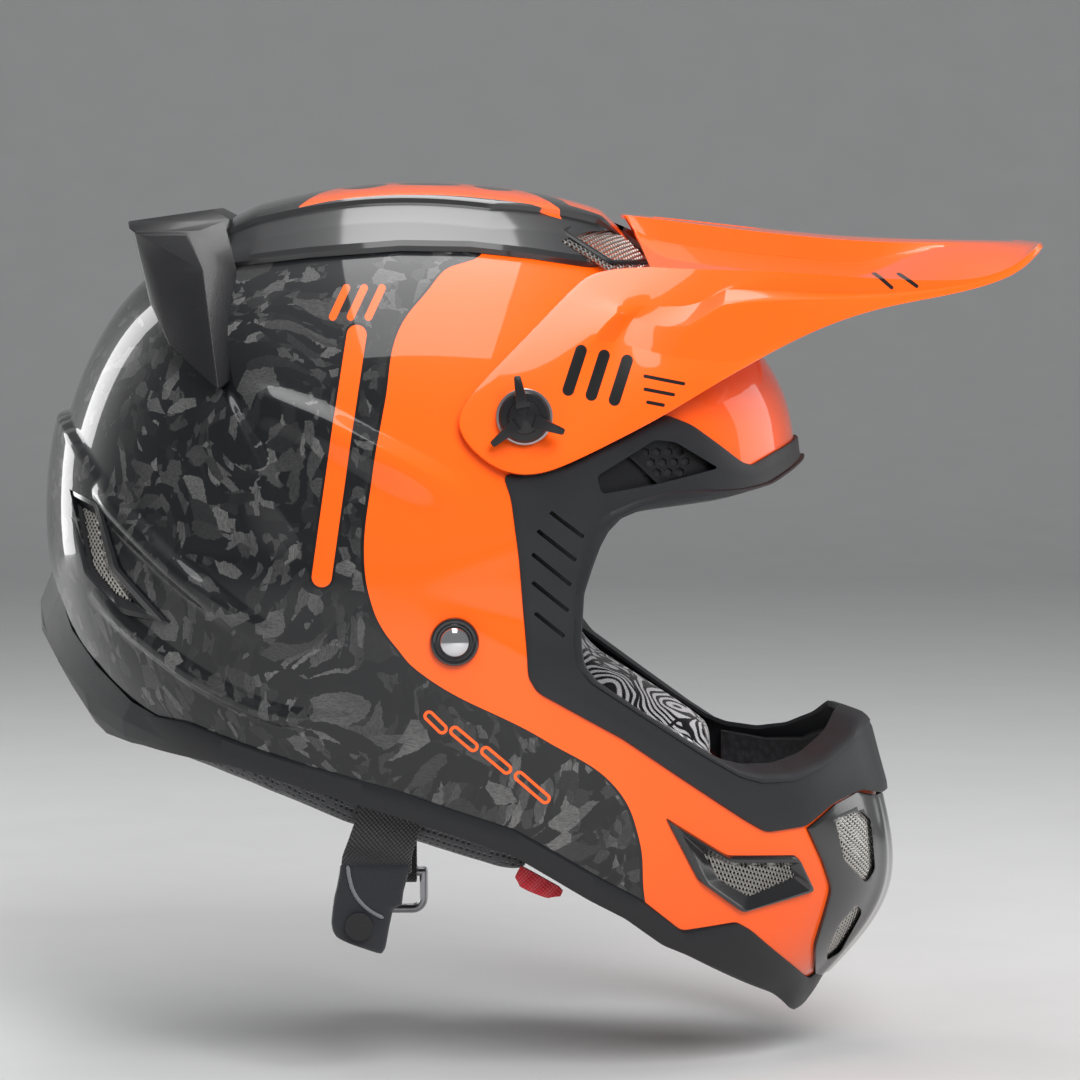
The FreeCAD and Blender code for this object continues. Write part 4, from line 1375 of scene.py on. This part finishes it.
def pad(name, node, material, voxel=4.5, shrink=1.6, pressure=4.0, swell=4.0):
    """A cushion from its CAD solid: remeshed, blown up like a stuffed cover and smoothed."""
    piece = frame["nodes"][node].copy()
    piece.data = piece.data.copy()
    piece.animation_data_clear()
    bpy.context.scene.collection.objects.link(piece)
    piece.parent = None
    make_active(piece)
    piece.name = piece.data.name = name
    edit(piece)
    bpy.ops.mesh.remove_doubles(threshold=0.0001)
    done()
    add_modifier(piece, "REMESH", mode="VOXEL", voxel_size=voxel * MM)
    add_modifier(piece, "SMOOTH", factor=0.5, iterations=4)
    add_modifier(piece, "DISPLACE", strength=-shrink * MM, mid_level=0.0)
    start = points_of(piece)
    cloth = piece.modifiers.new("cloth", "CLOTH")
    cloth.settings.use_pressure = True
    cloth.settings.uniform_pressure_force = pressure
    cloth.settings.effector_weights.gravity = 0
    cloth.settings.quality = 4
    cloth.settings.tension_stiffness = 25
    for number in range(1, CLOTH_FRAMES + 1):
        bpy.context.scene.frame_set(number)
    make_active(piece)
    bpy.ops.object.modifier_apply(modifier=cloth.name)
    bpy.context.scene.frame_set(1)
    moved = points_of(piece) - start
    length = np.linalg.norm(moved, axis=1)[:, None]
    move_points(piece, start + moved * np.minimum(1, swell / np.maximum(length, 1e-6)))
    add_modifier(piece, "SMOOTH", factor=0.5, iterations=3)
    add_modifier(piece, "SUBSURF", levels=1, render_levels=1)
    smooth(piece, 60)
    finish_piece(piece, material, "helmet", [node])
    return piece


def make_padding():
    for _, word in SIDES:
        pad("cheek_pad_cover_" + word, "cheek_pad_" + word, MATERIALS["print"])
    pad("crown_liner_cover", "crown_liner", MATERIALS["cloth"],
        voxel=5.0, shrink=1.0, pressure=2.0, swell=2.0)
    pad("neck_roll_cover", "neck_roll", MATERIALS["spacer"],
        voxel=4.5, shrink=1.2, pressure=3.0, swell=2.5)


# ---------------------------------------------------------------- straps
STRAP_Y = 99.5
SLEEVE = [
    # left edge and right edge of the padded sleeve, from its top to its tip
    ((-37.5, -87.6), (-9.0, -87.6)), ((-38, -92), (-11, -93)), ((-39, -97), (-12.6, -99)),
    ((-40, -101), (-13.2, -104.2)), ((-40.7, -106), (-16.6, -105.6)), ((-41.2, -111), (-18, -112)),
    ((-40.6, -114.5), (-19, -117.5)), ((-39, -117), (-19.8, -121.5)), ((-34, -119.4), (-21.5, -123.7)),
]


def cushion_panel(name, edges, side, middle, thick, edge_thick, across=13):
    """A flat padded strip: pairs of side-view edge points, thickest along its middle."""
    edges = np.array([np.concatenate(e) for e in edges], float)
    edges = resample(edges, 33)
    share = np.linspace(0, 1, across)
    swell = (1 - np.abs(2 * share - 1) ** 3) ** 0.5
    front, back = [], []
    for i, (ax, az, bx, bz) in enumerate(edges):
        end = min(1.0, 0.35 + min(i, len(edges) - 1 - i) / 3.0)
        x, z = ax + (bx - ax) * share, az + (bz - az) * share
        half = (edge_thick + (thick - edge_thick) * swell * end) / 2
        front.append(np.stack([x, side * (middle + half), z], -1))
        back.append(np.stack([x, side * (middle - half), z], -1)[::-1])
    rows = np.concatenate([np.array(front), np.array(back)], 1)
    piece = lattice(name, rows, close_columns=True)
    close_ends(piece)
    add_modifier(piece, "SUBSURF", levels=1, render_levels=1)
    return smooth(piece, 50)


def cord_along(name, points, radius, around=10):
    """A round piping or wire along a line of points."""
    p = np.asarray(points, float)
    ahead = np.gradient(p, axis=0)
    ahead /= np.linalg.norm(ahead, axis=1)[:, None]
    side = np.cross(ahead, (0.02, 1.0, 0.03))
    side /= np.linalg.norm(side, axis=1)[:, None]
    top = np.cross(side, ahead)
    rows = []
    for i in range(len(p)):
        size = radius * (0.5 if i in (0, len(p) - 1) else 1.0)
        rows.append([p[i] + size * (math.cos(a) * side[i] + math.sin(a) * top[i])
                     for a in np.linspace(0, 2 * math.pi, around, endpoint=False)])
    piece = lattice(name, rows, close_columns=True)
    close_ends(piece)
    return smooth(piece, 50)


def webbing_strip(name, rows, thick):
    """Flat woven strap along rows of edge-to-edge points."""
    piece = lattice(name, rows)
    add_modifier(piece, "SOLIDIFY", thickness=thick * MM, offset=0)
    bevelled(piece, 0.4, 2, 50)
    return smooth(piece, 40)


def make_webbing():
    """The strap inside the helmet, from its rivet down to where it hangs free."""
    for side, word in SIDES:
        ends = ((-37.0, -9.5) if side == RIGHT else (-36.0, -12.0))
        top, foot = np.array([((-4, 10), (18, 10)), ((-36, -83.5), (-9, -83.5))])
        rows = []
        for t in np.linspace(0, 1, 34):
            a, b = top + (foot - top) * t
            share = np.linspace(0, 1, 9)[:, None]
            rows.append(on_side(a + (b - a) * share, side, -7.4))
        for z in (-85.5, -87.5, -89.5, -91.5):
            x = np.linspace(ends[0], ends[1], 9)
            rows.append(np.stack([x, np.full(9, side * STRAP_Y), np.full(9, z)], -1))
        rows = np.array(rows)
        for k in range(9):
            blend = rows[30:38, k].copy()
            rows[31:37, k] = (blend[:-2] + 2 * blend[1:-1] + blend[2:]) / 4
        strip = webbing_strip("strap_webbing_" + word, rows, 1.8)
        finish_piece(strip, MATERIALS["webbing"], None, ["strap_anchor_" + word])
        x = sum(ends) / 2
        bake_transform(strip)


def make_right_strap():
    sleeve = cushion_panel("strap_sleeve", SLEEVE, RIGHT, STRAP_Y, 4.6, 1.6)
    finish_piece(sleeve, MATERIALS["sleeve"], "chin_strap_right", ["chin_strap_right"])
    arc = [(-34.5, -88.3), (-34, -93), (-32.5, -98.5), (-29.5, -103), (-25.5, -106.6), (-20.5, -109)]
    arc = resample(rounded(arc, 3, closed=False), 30)
    line = np.stack([arc[:, 0], np.full(30, -STRAP_Y - 2.35), arc[:, 1]], -1)
    piping = cord_along("sleeve_piping", line, 0.75)
    finish_piece(piping, MATERIALS["piping"], "chin_strap_right")


def make_left_strap():
    """Webbing folded round the bars of the two rings."""
    gap = 5.2
    half = [(1.0, -87.6), (1.2, -98), (1.6, -106), (gap, -113.5), (gap + 0.4, -117), (gap - 0.6, -120.2)]
    down = [(STRAP_Y + y, z) for y, z in half] + [(STRAP_Y, -121.0)]
    down += [(STRAP_Y - y, z) for y, z in half[::-1]]
    line = resample(rounded(down, 3, closed=False), 60)
    rows = [np.stack([np.linspace(-36, -12, 9), np.full(9, y), np.full(9, z)], -1) for y, z in line]
    strip = webbing_strip("left_strap_fold", rows, 1.7)
    finish_piece(strip, MATERIALS["webbing"], "chin_strap_left", ["chin_strap_left"])


def make_tabs():
    """Folded red ribbons that pull the cheek pads out."""
    edges = [((31.3, -92.5), (33.5, -88)), ((33, -96.5), (38, -90.5)), ((38.5, -99.4), (43.5, -93.8)),
             ((44, -101.4), (48.5, -96.8)), ((48.8, -100.6), (49.8, -98.4))]
    edges = resample(np.array([np.concatenate(e) for e in edges], float), 24)
    for side, word in SIDES:
        rows = []
        for layer, lift in ((0, 0.5), (1, -0.5)):
            for i, (ax, az, bx, bz) in enumerate(edges if layer == 0 else edges[::-1]):
                share = np.linspace(0, 1, 7)
                x, z = ax + (bx - ax) * share, az + (bz - az) * share
                wave = 0.35 * math.sin(i * 0.9) if layer == 0 else 0.0
                rows.append(on_side(np.stack([x, z], -1), side, -7.6 + lift + wave))
        strip = lattice("pad_release_ribbon_" + word, rows)
        add_modifier(strip, "SOLIDIFY", thickness=0.7 * MM, offset=0)
        smooth(strip, 40)
        body = "release_tab_" + word
        finish_piece(strip, MATERIALS["red"], body, [body])


GRILLE_MIDDLE = (86, 68)
GRILLE_BAR = [(75.5, 73), (77.5, 72.5), (89.5, 62), (87.2, 61.5)]


def make_grilles():
    """Honeycomb inserts behind the brow vents, each split by a slanted bar."""
    cell, size = 4.6, 1.9
    for side, word in SIDES:
        window = grown(BROW_VENT, -1.5)
        grid = [(82 + cell * (k + 0.5 * (row % 2)), 66.0 + 4.0 * row) for row in range(4) for k in range(4)]
        spots = [spot for spot in grid if inside(np.array([spot]), window)[0]]
        face = float(half_width(*GRILLE_MIDDLE))
        low, high = sorted((side * (face - 4.6), side * (face - 2.8)))
        plate = prism("brow_grille_" + word, grown(BROW_VENT, 0.8), low, high)
        tools = []
        for x, z in spots:
            turn = [math.radians(a) for a in range(30, 390, 60)]
            ring = [(x + size * math.cos(a), z + size * math.sin(a)) for a in turn]
            tools.append(prism("tool", ring, low - 5, high + 5))
        cut(plate, tools, solver="EXACT")
        low, high = sorted((side * (face - 4.5), side * (face - 0.4)))
        bar = prism("bar", GRILLE_BAR, low, high)
        piece = join("brow_grille_" + word, [plate, bar])
        p = points_of(piece)
        p[:, 1] += side * (half_width(p[:, 0], p[:, 2]) - face)
        move_points(piece, p)
        smooth(piece, 30)
        finish_piece(piece, MATERIALS["black"], "helmet", ["brow_vent_grille_" + word])


# ---------------------------------------------------------------- stage
FLOOR = -176.0
LIT_POINT = (0.03, 0, 0.03)
CAMERA_TARGET = (0.041, 0, 0.0328)
CAMERA_DISTANCE = 2.2
CAMERA_ELEVATION = math.radians(4)


def make_stage():
    bpy.context.scene.view_settings.view_transform = "Standard"
    far, bend, reach, height = 2500, 1500, 7000, 6000
    sweep = [(-reach, FLOOR), (far, FLOOR)]
    for a in np.linspace(0, math.pi / 2, 13)[1:]:
        sweep.append((far + bend * math.sin(a), FLOOR + bend * (1 - math.cos(a))))
    sweep.append((far + bend, height))
    floor = lattice("floor", [[(x, y, z) for x in (-reach, reach)] for y, z in sweep])
    smooth(floor, 60)
    s = Shader("pale_floor", roughness=0.8)
    grain = s.noise(s.place(), 0.02, 3.0)
    s.set(Base_Color=s.mix(grain, (0.55, 0.55, 0.55), (0.59, 0.59, 0.59)))
    floor.data.materials.append(s.material)
    world = bpy.data.worlds.new("studio")
    world.use_nodes = True
    world.node_tree.nodes["Background"].inputs[0].default_value = (0.96, 0.98, 1.0, 1)
    world.node_tree.nodes["Background"].inputs[1].default_value = 0.24
    bpy.context.scene.world = world
    lights = [
        # name, place, size, power, seen in reflections
        ("overhead_box", (0.0, 0.0, 1.25), (1.9, 0.5), 12, True),
        ("rear_rim", (-1.2, 0.8, 0.4), (0.4, 1.2), 8, True),
        ("front_rim", (1.5, 0.7, 0.6), (0.9, 1.4), 6, True),
        ("side_key", (0.6, -1.8, 1.3), (1.2, 1.2), 60, False),
    ]
    for name, place, size, power, reflected in lights:
        data = bpy.data.lights.new(name, "AREA")
        data.shape = "RECTANGLE"
        data.size, data.size_y = size
        data.energy = power
        lamp = bpy.data.objects.new(name, data)
        lamp.location = place
        lamp.visible_glossy = reflected
        aim = Vector(LIT_POINT) - Vector(place)
        lamp.rotation_euler = aim.to_track_quat("-Z", "Y").to_euler()
        bpy.context.scene.collection.objects.link(lamp)


def make_camera():
    data = bpy.data.cameras.new("camera")
    data.sensor_width = 36
    data.lens = 178.9
    data.clip_end = 50
    camera = bpy.data.objects.new("camera", data)
    target = Vector(CAMERA_TARGET)
    away = Vector((0, -math.cos(CAMERA_ELEVATION), math.sin(CAMERA_ELEVATION)))
    camera.location = target + CAMERA_DISTANCE * away
    camera.rotation_euler = (target - camera.location).to_track_quat("-Z", "Y").to_euler()
    bpy.context.scene.collection.objects.link(camera)
    bpy.context.scene.camera = camera


make_camera()
make_stage()
make_shell()
make_eye_port_trim()
make_rim_trim()
make_mouth_guard()
make_vents()
make_grilles()
make_fairing()
make_spoiler()
make_diffuser()
make_peak()
make_screws()
make_rivets()
make_padding()
make_webbing()
make_right_strap()
make_left_strap()
make_tabs()

slot_material = {
    "carbon_shell": "shell", "orange_paint": "peak", "impact_foam": "foam", "liner_fabric": "cloth",
    "printed_fabric": "print", "mesh_fabric": "spacer", "trim_rubber": "trim", "black_plastic": "black",
    "gloss_black": "gloss", "wire_mesh": "wire", "screw_plastic": "gloss", "insert_brass": "brass",
    "rivet_steel": "chrome", "ring_steel": "ring", "webbing": "webbing", "red_webbing": "red",
}
node_slot = {part["node"]: part["material_slot"] for part in frame["record"]["subparts"]}
for name, node in frame["nodes"].items():
    if not node.hide_render:
        look = "black" if name.startswith("strap_snap") else slot_material[node_slot[name]]
        node.data.materials.clear()
        node.data.materials.append(MATERIALS[look])
